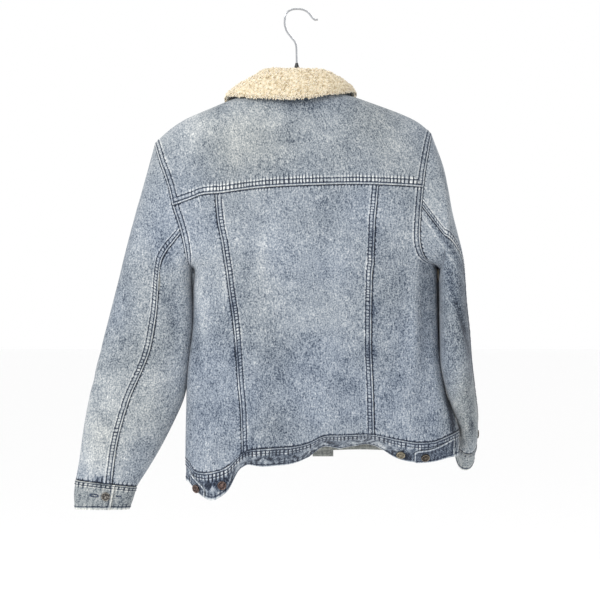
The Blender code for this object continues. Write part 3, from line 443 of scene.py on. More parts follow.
def shoulder_point(x: Reading, beta: Reading) -> np.ndarray:
    """Give the surface at x, rolled beta degrees forward of the shoulder ridge.

    Args:
        x: places across.
        beta: the roll, below 0 on the back.

    Returns:
        Points in the last axis.
    """
    power = ridge_power(x)
    turn = np.radians(np.abs(beta))
    z = DOME_Z + (ridge_z(x) - DOME_Z) * np.cos(turn) ** (2 / power)
    side = np.where(np.asarray(beta) < 0, "back", "front")
    depth = np.where(side == "back", body_at("back", z), body_at("front", z))
    y = np.sign(beta) * depth * side_close(x, z) * np.sin(turn) ** (2 / power)
    return np.stack([x, y, z], -1)


def roll_of(x: Reading, z: Reading, sign: int) -> np.ndarray:
    """Give the roll about the ridge of the surface point at x and z.

    Args:
        x: places across.
        z: heights.
        sign: -1 on the back, 1 on the front.

    Returns:
        The roll in degrees.
    """
    power = ridge_power(x)
    rise = np.clip((z - DOME_Z) / (ridge_z(x) - DOME_Z), 0, 1)
    return sign * np.degrees(np.arccos(rise ** (power / 2)))


def armhole_x(side: str, z: Reading, front: bool = False) -> np.ndarray:
    """Read the armhole's edge at height z."""
    return smooth(ARMHOLE["z"], ARMHOLE[f"{'front' if front else 'back'}_{side}"], z)


def on_armhole(side: str, beta: float) -> float:
    """Find x of the armhole's edge where the shoulder is rolled by beta.

    Args:
        side: left or right.
        beta: the roll in degrees.

    Returns:
        X in millimetres.
    """
    x = float(armhole_x(side, -240))
    for _ in range(60):
        z = float(shoulder_point(np.float64(x), beta)[2])
        x = 0.5 * x + 0.5 * float(armhole_x(side, z, front=beta > 0))
    return x


def spread(count: int, power: float = 1.0) -> np.ndarray:
    """Give stations from 0 to 1, closer near 0 for a power over 1."""
    return np.linspace(0, 1, count) ** power


# Stations shared by neighbouring panels
ROWS_LOW = spread(9)
ROWS_HIGH = spread(8, 1.7)
ROWS_FRONT = np.array([0, 0.03, 0.09, 0.2, 0.36, 0.54, 0.72, 0.86, 0.94, 0.98, 1])
ARM_STEPS = np.array([0.0, FELL_WIDTH, FELL_WIDTH + FELL_EDGE])


def coons(bottom: np.ndarray, top: np.ndarray, left: np.ndarray, right: np.ndarray) -> np.ndarray:
    """Fill a grid of rows, bottom to top, between four edges of 2D points.

    Args:
        bottom: the low edge, left to right.
        top: the top edge, left to right.
        left: the left edge, bottom to top.
        right: the right edge, bottom to top.

    Returns:
        Rows by columns of 2D points.
    """
    def stations(first: np.ndarray, second: np.ndarray) -> np.ndarray:
        """Give the mean share of length at each point of two edges.

        Args:
            first: one edge.
            second: the edge across from it.

        Returns:
            Shares from 0 to 1.
        """
        lengths = []
        for line in (first, second):
            run = np.concatenate([[0], np.cumsum(np.linalg.norm(np.diff(line, axis=0), axis=1))])
            lengths.append(run / run[-1])
        return (lengths[0] + lengths[1]) / 2

    u = stations(bottom, top)[None, :, None]
    v = stations(left, right)[:, None, None]
    ruled = (1 - v) * bottom[None] + v * top[None] + (1 - u) * left[:, None] + u * right[:, None]
    corners = (
        (1 - u) * (1 - v) * bottom[0]
        + u * (1 - v) * bottom[-1]
        + (1 - u) * v * top[0]
        + u * v * top[-1]
    )
    return ruled - corners


def side_heights(z_low: float, z_high: float, upper: np.ndarray = ROWS_HIGH) -> np.ndarray:
    """Give row heights on one upright seam, with a row at the armpit.

    Args:
        z_low: the seam's foot.
        z_high: its top.
        upper: the stations above the armpit.

    Returns:
        The heights, rising.
    """
    low = z_low + (ARMPIT_Z - z_low) * ROWS_LOW
    high = ARMPIT_Z + (z_high - ARMPIT_Z) * upper
    return np.concatenate([low, high[1:]])


def points_2d(x: np.ndarray, z: np.ndarray) -> np.ndarray:
    """Join two arrays as 2D points."""
    return np.stack([x, z], -1)


def back_layout() -> dict[str, dict[str, np.ndarray]]:
    """Lay out the back's seam lines.

    Returns:
        For each side its low, top, outer and inner lines in x and z.
    """
    lines = {}
    for side, sign in (("left", 1), ("right", -1)):
        arm = float(armhole_x(side, float(smooth(YOKE["x"], YOKE["z"], -sign * YOKE_END_X))))
        top_inner = float(body_at(f"princess_{side}", PRINCESS_TOP_Z))
        past = np.linspace(arm + sign * PAST_FELL, top_inner, 5)
        top_x = np.concatenate([arm + sign * ARM_STEPS, past])
        top = points_2d(top_x, smooth(YOKE["x"], YOKE["z"], top_x))
        edge = float(body_at(side, band_at("top", HEM_END_X[side])))
        low_inner = float(body_at(f"princess_{side}", PRINCESS_LOW_Z))
        low_x = edge + (low_inner - edge) * spread(len(top_x), 2.2)
        low = points_2d(low_x, band_at("top", low_x))
        heights = side_heights(low[0, 1], top[0, 1])
        outer_x = np.where(
            heights <= ARMPIT_Z, body_at(side, heights), armhole_x(side, heights)
        )
        outer_x[0] = edge
        seam_z = side_heights(low[-1, 1], top[-1, 1])
        seam_x = body_at(f"princess_{side}", seam_z)
        seam_x[0], seam_x[-1] = low[-1, 0], top[-1, 0]
        lines[side] = {
            "low": low,
            "top": top,
            "outer": points_2d(outer_x, heights),
            "inner": points_2d(seam_x, seam_z),
        }
    return lines


def centre_lines(lines: dict[str, dict[str, np.ndarray]]) -> list[np.ndarray]:
    """Lay out the low and top edges of the centre back.

    Args:
        lines: the seam lines of both sides.

    Returns:
        The two edges in x and z.
    """
    edges = []
    for key in ("low", "top"):
        start = lines["left"][key][-1, 0]
        end = lines["right"][key][-1, 0]
        middle = np.linspace(start + 30, end - 30, 7)
        x = np.concatenate([start + ARM_STEPS, middle, end - ARM_STEPS[::-1]])
        z = band_at("top", x) if key == "low" else smooth(YOKE["x"], YOKE["z"], x)
        edges.append(points_2d(x, z))
    return edges


def unit(vectors: np.ndarray) -> np.ndarray:
    """Scale vectors to length 1."""
    return vectors / np.maximum(np.linalg.norm(vectors, axis=-1, keepdims=True), 1e-9)


def neck_plan(turn: float) -> tuple[float, float]:
    """Find the neck edge at a turn from the centre back, on the yoke.

    Args:
        turn: degrees about the neck.

    Returns:
        X, and the roll about the ridge.
    """
    a = math.radians(turn)
    x = NECK_X + NECK_HALF * math.sin(a)
    y = NECK_BACK_Y * math.cos(a)
    power = float(ridge_power(x))
    z = float(ridge_z(x))
    for _ in range(30):
        depth = float(body_at("back" if y < 0 else "front", z))
        share = min(1.0, abs(y) / (depth * float(side_close(np.float64(x), z))))
        z = DOME_Z + (float(ridge_z(x)) - DOME_Z) * (1 - share**power) ** (1 / power)
    return x, math.copysign(math.degrees(math.asin(share ** (power / 2))), y)


def yoke_edges(
    lines: dict[str, dict[str, np.ndarray]],
    centre_top: np.ndarray,
) -> dict[str, np.ndarray]:
    """Lay out the yoke's edges in x and roll.

    Args:
        lines: the back's seam lines.
        centre_top: the centre back's top edge.

    Returns:
        The sewn seam, and the four edges above its felled band.
    """
    seam_x = np.concatenate(
        [lines["left"]["top"][:, 0], centre_top[1:-1, 0], lines["right"]["top"][::-1, 0]]
    )
    seam_z = smooth(YOKE["x"], YOKE["z"], seam_x)
    rise = YOKE_FELL_WIDTH + FELL_EDGE
    bottom_x = seam_x.copy()
    for side, column, sign in (("left", 0, 1), ("right", -1, -1)):
        moved = float(armhole_x(side, seam_z[column] + rise)) - seam_x[column]
        near = ease(1 - sign * (seam_x - seam_x[column]) / 60)
        bottom_x = bottom_x + moved * near
    bottom = points_2d(bottom_x, roll_of(bottom_x, seam_z + rise, -1))
    edges = {"seam": points_2d(seam_x, seam_z), "bottom": bottom}
    neck_turns = np.linspace(-NECK_SHOULDER_TURN, NECK_SHOULDER_TURN, len(seam_x) - 16)
    neck = np.array([neck_plan(turn) for turn in neck_turns])
    for side, column in (("left", 0), ("right", -1)):
        low = bottom[column, 1]
        turns = np.concatenate([np.linspace(low, -8, 6), [0], np.linspace(9, SHOULDER_SEAM_TIP, 2)])
        x = np.array([on_armhole(side, turn) for turn in turns])
        x[0] = bottom[column, 0]
        edges[side] = points_2d(x, turns)
        tip, point = x[-1], neck[column]
        sign = 1 if side == "left" else -1
        x = np.concatenate([tip + sign * ARM_STEPS, np.linspace(tip + sign * 26, point[0], 6)])
        share = (x - tip) / (point[0] - tip)
        roll = SHOULDER_SEAM_TIP + (point[1] - SHOULDER_SEAM_TIP) * share
        edges[f"shoulder_{side}"] = points_2d(x, roll)
    edges["top"] = np.concatenate(
        [edges["shoulder_left"], neck[1:-1], edges["shoulder_right"][::-1]]
    )
    return edges


def front_grid(
    side: str,
    lines: dict[str, dict[str, np.ndarray]],
    edges: dict[str, np.ndarray],
) -> np.ndarray:
    """Lay a front between its side seam, shoulder, neck and front edge.

    Args:
        side: left or right.
        lines: the back's seam lines.
        edges: the yoke's edges.

    Returns:
        The grid of its outer points.
    """
    sign = 1 if side == "left" else -1
    seam = edges[f"shoulder_{side}"]
    over = shoulder_point(seam[:, 0], seam[:, 1])
    shoulder = points_2d(over[:, 0], over[:, 2])
    stop_x = float(placket_x(shoulder[-1, 1] - NECK_FRONT_DROP))
    reach = abs(shoulder[-1, 0] - NECK_X)
    turns = np.linspace(0, math.acos(sign * (NECK_X - stop_x) / reach), 6)[1:]
    neck_x = NECK_X - sign * reach * np.cos(turns)
    neck_z = shoulder[-1, 1] - NECK_FRONT_DROP * np.sin(turns)
    top = np.concatenate([shoulder, points_2d(neck_x, neck_z)])
    edge = lines[side]["outer"][0, 0]
    low_x = edge + (float(placket_x(PLACKET_FOOT_Z)) - edge) * spread(len(top), 1.9)
    low = points_2d(low_x, band_at("front_top", low_x))
    low[0] = lines[side]["outer"][0]
    heights = side_heights(low[0, 1], top[0, 1], ROWS_FRONT)
    outer_x = np.where(
        heights <= ARMPIT_Z, body_at(side, heights), armhole_x(side, heights, front=True)
    )
    outer_x[0], outer_x[-1] = edge, top[0, 0]
    inner_z = side_heights(low[-1, 1], top[-1, 1], ROWS_FRONT)
    inner_x = placket_x(inner_z)
    inner_x[-1] = top[-1, 0]
    inner = points_2d(inner_x, inner_z)
    flat = coons(low, top, points_2d(outer_x, heights), inner)
    grid = front_point(flat[..., 0], flat[..., 1], lap=1.0 if side == "left" else 0.0)
    grid[-1, : len(over)] = over
    return grid


def band_point(x: Reading, share: float, front: bool = False, lap: float = 0.0) -> np.ndarray:
    """Give the hem band's outer surface, which curls in where it is short.

    Args:
        x: places across.
        share: 0 at its top seam, 1 at its low edge.
        front: whether it is a front band.
        lap: 1 on the left front.

    Returns:
        Points in the last axis.
    """
    top = band_at("front_top" if front else "top", x)
    low = band_at("front_low" if front else "low", x)
    z = top + (low - top) * share
    if front:
        return front_point(x, z, lap)
    point = back_point(x, top)
    close = side_close(x, top)
    curl = np.sqrt(np.maximum(BAND_HEIGHT**2 - (top - low) ** 2, 0)) * ease(close * 1.4 - 0.4)
    y = point[..., 1] + curl * share**1.3
    return np.stack([x, y, z], -1)


def ring(row: Sequence[float], turns: Reading) -> np.ndarray:
    """Give points of one sleeve ring.

    Args:
        row: a row of the sleeve's table.
        turns: degrees from the outer edge towards the back.

    Returns:
        The points.
    """
    x, y, z, half_u, half_v, tilt, pitch, _ = row
    sign = -1 if x < 0 else 1
    lean, nod = math.radians(tilt), math.radians(pitch)
    u = np.array([sign * math.cos(lean), 0, math.sin(lean)])
    down = np.array([sign * math.sin(lean), 0, -math.cos(lean)])
    down = down * (-1 if down[2] > 0 else 1)
    v = math.sin(nod) * down - math.cos(nod) * np.array([0, 1, 0])
    c, s = np.cos(np.radians(turns)), np.sin(np.radians(turns))
    power = 2 / RING_POWER
    across = np.sign(c) * np.abs(c) ** power * half_u
    deep = np.sign(s) * np.abs(s) ** power * half_v
    return np.array([x, y, z]) + across[:, None] * u + deep[:, None] * v


def through(knots: Sequence[np.ndarray], count_each: Sequence[int]) -> np.ndarray:
    """Pass smooth rows through the knots' rings.

    Args:
        knots: the rings.
        count_each: how many rows each stretch has.

    Returns:
        The rows, the last ring included.
    """
    padded = [2 * knots[0] - knots[1], *knots, 2 * knots[-1] - knots[-2]]
    rows = []
    for k, count in enumerate(count_each):
        p0, p1, p2, p3 = padded[k : k + 4]
        for t in np.arange(count) / count:
            rows.append(
                0.5
                * (
                    2 * p1
                    + (p2 - p0) * t
                    + (2 * p0 - 5 * p1 + 4 * p2 - p3) * t * t
                    + (3 * p1 - p0 - 3 * p2 + p3) * t**3
                )
            )
    rows.append(knots[-1])
    return np.stack(rows)


def armhole_loop(side: str, grids: dict[str, np.ndarray]) -> np.ndarray:
    """Join the armhole's points, from the shoulder tip down the back and up the front.

    Args:
        side: left or right.
        grids: the body's grids.

    Returns:
        The closed loop.
    """
    column = 0 if side == "left" else -1
    yoke = grids["back_yoke"][:, column]
    back = grids[f"back_side_{side}"][:, column]
    front = grids[f"front_{side}"][:, column]
    armpit = len(ROWS_LOW) - 1
    tip = int(np.argmax(yoke[:, 2]))
    return np.concatenate(
        [
            yoke[tip::-1],
            back[-2:armpit:-1],
            front[armpit:],
            yoke[-2:tip:-1],
            yoke[tip : tip + 1],
        ]
    )


def sleeve_grids(
    rows: Sequence[Sequence[float]],
    loop: np.ndarray,
    seam_near: float,
) -> tuple[np.ndarray, np.ndarray]:
    """Lay the sleeve's top and under pieces from the armhole down.

    Args:
        rows: the sleeve's table.
        loop: the armhole's points.
        seam_near: height at which the back seam starts.

    Returns:
        The two grids.
    """
    centre = (loop.max(0) + loop.min(0)) / 2
    half = (loop.max(0) - loop.min(0)) / 2
    up = (loop[:, 2] - centre[2]) / half[2]
    back = -(loop[:, 1] - centre[1]) / half[1]
    turns = np.degrees(np.unwrap(np.arctan2(back, up)))
    turns[0], turns[-1] = 0, 360
    armpit = int(np.argmin(loop[:, 2]))
    turns = np.interp(turns, [0, turns[armpit], 360], [0, 180, 360])
    at_seam = 1 + int(np.argmin(np.abs(loop[1:armpit, 2] - seam_near)))
    at_front = int(np.argmin(np.abs(turns - FRONT_SEAM_TURN)))
    knots = [loop]
    for row in rows:
        anchors = [turns[at_front] - 360, turns[at_seam], 180, turns[at_front], turns[at_seam] + 360]
        wanted = [FRONT_SEAM_TURN - 360, row[7], 180, FRONT_SEAM_TURN, row[7] + 360]
        knots.append(ring(row, np.interp(turns, anchors, wanted)))
    grid = through(knots, [3] + [2] * (len(rows) - 1))
    top = np.concatenate([grid[:, at_front:-1], grid[:, : at_seam + 1]], axis=1)
    under = grid[:, at_seam : at_front + 1]
    return top, under


def cuff_grid(rows: Sequence[Sequence[float]], start: float, columns: int = 30) -> np.ndarray:
    """Lay a cuff strip whose last stretch passes under its first.

    Args:
        rows: the cuff's table.
        start: turn of its visible end.
        columns: points round it.

    Returns:
        The grid.
    """
    sweep = 360 + CUFF_LAP
    turns = start - np.linspace(0, sweep, columns)
    swept = np.linspace(0, sweep, columns)
    under = (WALL + SEAM_GAP + CUFF_SLACK) * ease((swept - CUFF_UNDER_TURN) / CUFF_LAP)
    rings = []
    for row in rows:
        full = ring(row, turns)
        less = list(row)
        less[3] -= CUFF_SHRINK
        less[4] -= CUFF_SHRINK
        small = ring(tuple(less), turns)
        inward = (small - full) / np.linalg.norm(small - full, axis=-1, keepdims=True)
        rings.append(full + inward * under[:, None])
    return through(rings[::-1], [2] * (len(rows) - 1))


def neck_base(turn: float) -> np.ndarray:
    """Give the collar's foot at a turn from the centre back.

    Args:
        turn: degrees about the neck.

    Returns:
        The point.
    """
    limit = NECK_SHOULDER_TURN
    if abs(turn) <= limit:
        x, roll = neck_plan(turn)
        foot = shoulder_point(np.float64(x), roll)
    else:
        x0, roll0 = neck_plan(math.copysign(limit, turn))
        start = shoulder_point(np.float64(x0), roll0)
        share = (abs(turn) - limit) / (180 - limit)
        reach = abs(x0 - NECK_X)
        x = NECK_X + math.copysign(reach * math.cos(share * math.pi / 2), turn)
        z = start[2] - NECK_FRONT_DROP * math.sin(share * math.pi / 2)
        foot = front_point(np.float64(x), z) + np.array([0, lap_height(x, z), 0])
    return foot


def collar_grid() -> np.ndarray:
    """Lay the line between the upper and under collar.

    Returns:
        Rows from the foot over the fold to the fall's edge.
    """
    rows = table(COLLAR_COLUMNS, COLLAR_ROWS)
    turns = np.linspace(rows["turn"][0], rows["turn"][-1], 31)
    read = {key: smooth(rows["turn"], rows[key], turns) for key in rows}
    sections = []
    for k, turn in enumerate(turns):
        fold = np.array([read[key][k] for key in ("fold_x", "fold_y", "fold_z")])
        edge = np.array([read[key][k] for key in ("edge_x", "edge_y", "edge_z")])
        out = np.array([math.sin(math.radians(turn)), -math.cos(math.radians(turn)), 0])
        up = np.array([0, 0, 1.0])
        foot = neck_base(turn)
        rise = unit(np.array([NECK_X - foot[0], 0, 60]))
        lift = COLLAR_LIFT + COLLAR_FRONT_LIFT * ease((abs(turn) - 80) / 40)
        foot = foot - out * (WALL / 2) + rise * lift
        inner = fold - (out + up) * FOLD_RADIUS
        outer = fold + (out - up) * FOLD_RADIUS
        side, drop = FOLD_RADIUS * 0.71, FOLD_RADIUS * 0.29
        sections.append(
            [
                foot,
                (foot + inner) / 2,
                inner,
                fold - out * side - up * drop,
                fold,
                fold + out * side - up * drop,
                outer,
                (outer + edge) / 2 + out * 4 + up * 2,
                edge,
            ]
        )
    return np.array(sections).transpose(1, 0, 2)


def neck_front_z(x: float) -> float:
    """Find the front neck edge.

    Args:
        x: the place across.

    Returns:
        The edge's height there.
    """
    side = -1 if x < NECK_X else 1
    corner = neck_base(side * NECK_SHOULDER_TURN)
    share = min(1.0, abs(x - NECK_X) / abs(corner[0] - NECK_X))
    return corner[2] - NECK_FRONT_DROP * math.sqrt(1 - share**2)


# ---- Small tools ----


def linear(code: str) -> tuple[float, float, float, float]:
    """Turn an sRGB hex colour to linear."""
    parts = [int(code[k : k + 2], 16) / 255 for k in (1, 3, 5)]
    return (*[p / 12.92 if p <= 0.04045 else ((p + 0.055) / 1.055) ** 2.4 for p in parts], 1.0)


def linked(name: str, data: bpy.types.ID, materials: Sequence[bpy.types.Material] = ()) -> bpy.types.Object:
    """Make an object and link it to the scene.

    Args:
        name: its name.
        data: its mesh, curve, lamp or camera.
        materials: the materials of its slots.

    Returns:
        The object.
    """
    for material in materials:
        data.materials.append(material)
    obj = bpy.data.objects.new(name, data)
    bpy.context.scene.collection.objects.link(obj)
    return obj


def refine(line: np.ndarray, at: np.ndarray, places: np.ndarray) -> np.ndarray:
    """Pass a smooth curve through the rows of an array.

    Args:
        line: the rows.
        at: the rising place of each row.
        places: where to read.

    Returns:
        One row for each place.
    """
    step = np.diff(at)
    shape = (-1,) + (1,) * (line.ndim - 1)
    slope = np.diff(line, axis=0) / step.reshape(shape)
    near, far = step[:-1].reshape(shape), step[1:].reshape(shape)
    inner = (slope[:-1] * far + slope[1:] * near) / (near + far)
    tangent = np.concatenate([slope[:1], inner, slope[-1:]])
    k = np.clip(np.searchsorted(at, places, side="right") - 1, 0, len(at) - 2)
    t = ((places - at[k]) / step[k]).reshape(shape)
    return hermite(line, tangent, k, step[k].reshape(shape), t)


def runs(grid: np.ndarray, axis: int) -> np.ndarray:
    """Give the length run along one axis of a grid, from its first border.

    Args:
        grid: rows by columns of points.
        axis: 0 for up the columns, 1 for along the rows.

    Returns:
        The length at each point.
    """
    step = np.linalg.norm(np.diff(grid, axis=axis), axis=-1)
    start = np.zeros_like(np.take(step, [0], axis=axis))
    return np.concatenate([start, np.cumsum(step, axis=axis)], axis=axis)


def finer(grid: np.ndarray, cell: float, along: Sequence[float], up: Sequence[float]) -> np.ndarray:
    """Lay a grid again with small cells, smaller still near its seams.

    Args:
        grid: the solid's own points.
        cell: the largest cell in millimetres.
        along: distances from the left and right borders that stay fine.
        up: distances from the low and top borders that stay fine.

    Returns:
        The fine grid through the same points.
    """
    for axis, (near_first, near_last) in ((0, up), (1, along)):
        at = runs(grid, axis).mean(1 - axis)
        steps, place = [0.0], 0.0
        while place < at[-1]:
            close = place < near_first or at[-1] - place < near_last
            place += min(cell, FINE_CELL) if close else cell
            steps.append(place)
        places = np.array(steps) * at[-1] / place
        moved = np.moveaxis(grid, axis, 0)
        grid = np.moveaxis(refine(moved, at, places), 0, axis)
    return grid


def surface_normals(grid: np.ndarray, outward: int) -> np.ndarray:
    """Give a grid's unit normals.

    Args:
        grid: rows by columns of points.
        outward: 1 where rows cross columns outwards, else -1.

    Returns:
        The normals.
    """
    rising = np.gradient(grid, axis=0)
    along = np.gradient(grid, axis=1)
    return unit(np.cross(along, rising)) * outward


WANDER_KNOTS = 512
WANDER_START = 200


def wander(place: np.ndarray, size: float, seed: int) -> np.ndarray:
    """Give smooth noise along a line.

    Args:
        place: distances in millimetres.
        size: the mean length of a swell.
        seed: which noise.

    Returns:
        Values from -1 to 1.
    """
    knots = np.random.default_rng(seed).uniform(-1, 1, WANDER_KNOTS)
    at = np.asarray(place) / size + WANDER_START
    k = np.floor(at).astype(int) % (WANDER_KNOTS - 1)
    t = ease(at - np.floor(at))
    return knots[k] * (1 - t) + knots[k + 1] * t


def band_of(distance: np.ndarray, centre: float, half: float) -> np.ndarray:
    """Give a soft band of 1 about a distance, 0 away from it."""
    return np.exp(-(((distance - centre) / half) ** 2))


def step_to(distance: np.ndarray, edge: float, soft: float) -> np.ndarray:
    """Give 1 up to an edge and 0 past it, with a soft change."""
    return 1 - ease((distance - edge + soft / 2) / soft)


# ---- Finishes ----


def add(
    tree: bpy.types.NodeTree,
    kind: str,
    settings: dict[str, Any],
    inputs: dict[Any, Any],
    out: Any = 0,
) -> bpy.types.NodeSocket:
    """Add a node with its settings and links.

    Args:
        tree: the node tree.
        kind: the node's type.
        settings: its properties by name; "stops" fills a colour ramp from places and colours.
        inputs: a socket to link or a value to set, by the input's name or number.
        out: the name or number of the output that is wanted.

    Returns:
        That output.
    """
    node = tree.nodes.new("ShaderNode" + kind)
    stops = settings.get("stops", ())
    for name in set(settings) - {"stops"}:
        setattr(node, name, settings[name])
    for _ in stops[2:]:
        node.color_ramp.elements.new(1.0)
    for k, (place, colour) in enumerate(stops):
        node.color_ramp.elements[k].position = place
        node.color_ramp.elements[k].color = colour if isinstance(colour, tuple) else linear(colour)
    for key, value in inputs.items():
        if isinstance(value, bpy.types.NodeSocket):
            tree.links.new(value, node.inputs[key])
        else:
            node.inputs[key].default_value = value
    return node.outputs[out]


def begin(name: str, values: dict[str, Any]) -> tuple[bpy.types.Material, Any, Any]:
    """Begin a material.

    Args:
        name: its name.
        values: what is the same all over it, by the shader's input.

    Returns:
        The material, its node tree and its shader.
    """
    material = bpy.data.materials.new(name)
    material.use_nodes = True
    shader = material.node_tree.nodes["Principled BSDF"]
    for key, value in values.items():
        shader.inputs[key].default_value = value
    return material, material.node_tree, shader


# How a seam reads across its width: millimetres in from the border, and how far the cloth is painted pale
# (towards 1) or dark (towards -1) there. The pale folded and frayed edges are rubbed wear; the dark lines
# are painted shade in the stitch grooves and, beside a neighbour's felled band, its painted shadow
FELLED_LINES = (
    (0.0, 0.45), (1.5, 0.55), (2.1, 0.0), (2.6, -1.1), (3.9, -1.1), (4.5, 0.15), (6.0, 0.25),
    (8.2, 0.15), (8.8, -1.1), (10.2, -1.1), (10.9, 0.45), (12.4, 0.45), (13.8, 0.0), (30.0, 0.0),
)
FELLED_TEETH = (
    (0.0, 0.1), (3.0, 0.2), (4.6, 1.0), (8.8, 1.0), (11.5, 0.75), (15.0, 0.4), (20.0, 0.0), (30.0, 0.0),
)
UNDER_LINES = ((0.0, -1.0), (1.8, -1.0), (2.7, -0.15), (4.0, 0.12), (9.0, 0.0), (30.0, 0.0))
UNDER_TEETH = ((0.0, 0.3), (3.0, 0.55), (6.0, 0.25), (10.0, 0.0), (30.0, 0.0))
HEM_LINES = (
    (0.0, 1.0), (2.2, 1.0), (3.2, 0.3), (4.4, -0.1), (5.0, -0.9), (6.0, -0.9), (6.6, 0.1), (9.0, 0.0),
    (30.0, 0.0),
)
HEM_TEETH = ((0.0, 0.2), (2.5, 0.5), (6.0, 0.55), (11.0, 0.3), (16.0, 0.0), (30.0, 0.0))
SEAM_PROFILES = (
    ("felled", FELLED_LINES, FELLED_TEETH),
    ("under", UNDER_LINES, UNDER_TEETH),
    ("hem", HEM_LINES, HEM_TEETH),
)
SEAM_REACH = 30.0
# How much each texture counts in the tone, from the finest to the broadest
SPECK_WEIGHT = 1.1
SLUB_WEIGHT = 0.38
BLOTCH_WEIGHT = 0.30
CLOUD_WEIGHT = 0.32
RIB_WEIGHT = 0.05
TEXTURE_WEIGHT = SPECK_WEIGHT + SLUB_WEIGHT + BLOTCH_WEIGHT + CLOUD_WEIGHT + RIB_WEIGHT
LINE_WEIGHT = 0.42
TEETH_WEIGHT = 0.36
# How much the painted tone counts: patches of tone, and the painted shade and highlight of creases, crumples
# and gaps
TONE_AND_SHADE_WEIGHT = 0.42
MULTIPLY = {"operation": "MULTIPLY"}
MULTIPLY_ADD = {"operation": "MULTIPLY_ADD"}


@dataclass(frozen=True)
class WashedTwill:
    """Cotton denim, 3/1 warp twill, acid washed: bleached specks over indigo, matt and dry."""

    name: str
    stops: tuple[tuple[float, str], ...]
    warm_stops: tuple[tuple[float, str], ...]
    level: float = 0.5
    slot: str = "denim"
    seams: float = 1.0
    # Real bleached specks are 0.3 to 3 mm; drawn at 1.1 mm and above, which still shows
    speck_mm: float = 1.1
    slub_mm: tuple[float, float] = (1.3, 7.0)
    blotch_mm: float = 14.0
    cloud_mm: float = 60.0
    # Warp threads are 0.5 mm apart; twill ribs are drawn at 1.6 mm, coarse enough to show
    rib_mm: float = 1.6
    bump_mm: float = 0.35

    def make(self) -> bpy.types.Material:
        """Build the material's nodes.

        Returns:
            The material.
        """
        values = {"Roughness": 0.92, "Specular IOR Level": 0.25, "Sheen Weight": 0.1, "Sheen Roughness": 0.6}
        material, tree, shader = begin(self.name, values)
        plan = add(tree, "UVMap", {"uv_map": "cloth"}, {})
        place = add(tree, "TexCoord", {}, {}, "Object")
        made = {}
        for name in ("rub", "warm", "phase", "teeth", *[profile[0] for profile in SEAM_PROFILES]):
            made[name] = add(tree, "Attribute", {"attribute_name": name}, {}, "Fac")
        for name, source, size, detail, rough in (
            ("speck", place, (self.speck_mm, self.speck_mm, self.speck_mm * 1.25), 1.0, 0.7),
            ("slub", plan, (*self.slub_mm, 1), 1.0, 0.5),
            ("blotch", place, (self.blotch_mm,) * 3, 2.0, 0.6),
            ("cloud", place, (self.cloud_mm,) * 3, 2.0, 0.5),
            ("tint", place, (self.cloud_mm * 1.4,) * 3, 1.0, 0.5),
        ):
            scaled = add(tree, "Mapping", {}, {"Vector": source, "Scale": [500 / s for s in size]})
            inputs = {"Vector": scaled, "Scale": 1.0, "Detail": detail, "Roughness": rough}
            made[name] = add(tree, "TexNoise", {}, inputs, "Fac")
        turned = add(tree, "Mapping", {}, {"Vector": plan, "Rotation": (0, 0, math.radians(-63))})
        inputs = {"Vector": turned, "Scale": 100 * math.pi / self.rib_mm, "Distortion": 1.2, "Detail": 1.0}
        made["rib"] = add(tree, "TexWave", {}, inputs, "Fac")

        ragged = add(tree, "Math", MULTIPLY_ADD, {0: made["speck"], 1: 2.4, 2: -1.2})
        sums: list[Any] = [-float(len(SEAM_PROFILES))] * 2
        # The seam lines paint the pale worn edges, and painted shade in the stitch grooves and beside each
        # raised felled band
        for name, *profiles in SEAM_PROFILES:
            far = add(tree, "Math", {"operation": "ADD"}, {0: made[name], 1: ragged})
            share = add(tree, "Math", MULTIPLY, {0: far, 1: 1 / SEAM_REACH})
            for k, rows in enumerate(profiles):
                stops = [(at / SEAM_REACH, (*[(tone + 1) / 2] * 3, 1)) for at, tone in rows]
                shade = add(tree, "ValToRGB", {"stops": stops}, {"Fac": share})
                sums[k] = add(tree, "Math", MULTIPLY_ADD, {0: shade, 1: 2.0, 2: sums[k]})
        swing = add(tree, "Math", MULTIPLY, {0: made["phase"], 1: 2 * math.pi})
        swing = add(tree, "Math", {"operation": "SINE"}, {0: swing})
        swing = add(tree, "Math", MULTIPLY_ADD, {0: ragged, 1: 0.25, 2: swing})
        bar = add(tree, "Math", {"operation": "MAXIMUM"}, {0: swing, 1: 0.0})
        bar = add(tree, "Math", {"operation": "POWER"}, {0: bar, 1: 1.3})
        tooth = add(tree, "Math", MULTIPLY_ADD, {0: bar, 1: -1.7, 2: 0.42})
        tooth = add(tree, "Math", MULTIPLY, {0: tooth, 1: made["teeth"]})
        tooth = add(tree, "Math", MULTIPLY, {0: tooth, 1: sums[1]})

        total: Any = self.level - 0.5 * TEXTURE_WEIGHT
        for source, weight in (
            (made["speck"], SPECK_WEIGHT),
            (made["slub"], SLUB_WEIGHT),
            (made["blotch"], BLOTCH_WEIGHT),
            (made["cloud"], CLOUD_WEIGHT),
            (made["rib"], RIB_WEIGHT),
            (sums[0], LINE_WEIGHT * self.seams),
            (tooth, TEETH_WEIGHT * self.seams),
            (made["rub"], TONE_AND_SHADE_WEIGHT),
        ):
            total = add(tree, "Math", MULTIPLY_ADD, {0: source, 1: weight, 2: total})
        cool = add(tree, "ValToRGB", {"stops": self.stops}, {"Fac": total})
        beige = add(tree, "ValToRGB", {"stops": self.warm_stops}, {"Fac": total})
        share = add(tree, "Math", MULTIPLY_ADD, {0: made["tint"], 1: 1.6, 2: made["warm"]})
        share = add(tree, "MapRange", {}, {"Value": share, "From Min": 0.8, "From Max": 1.8})
        colour = add(tree, "Mix", {"data_type": "RGBA"}, {0: share, 6: cool, 7: beige}, 2)
        tree.links.new(colour, shader.inputs["Base Color"])
        grain = add(tree, "Math", {"operation": "ADD"}, {0: made["speck"], 1: made["rib"]})
        bump = add(tree, "Bump", {}, {"Strength": 0.35, "Distance": self.bump_mm * MM, "Height": grain})
        tree.links.new(bump, shader.inputs["Normal"])
        return material


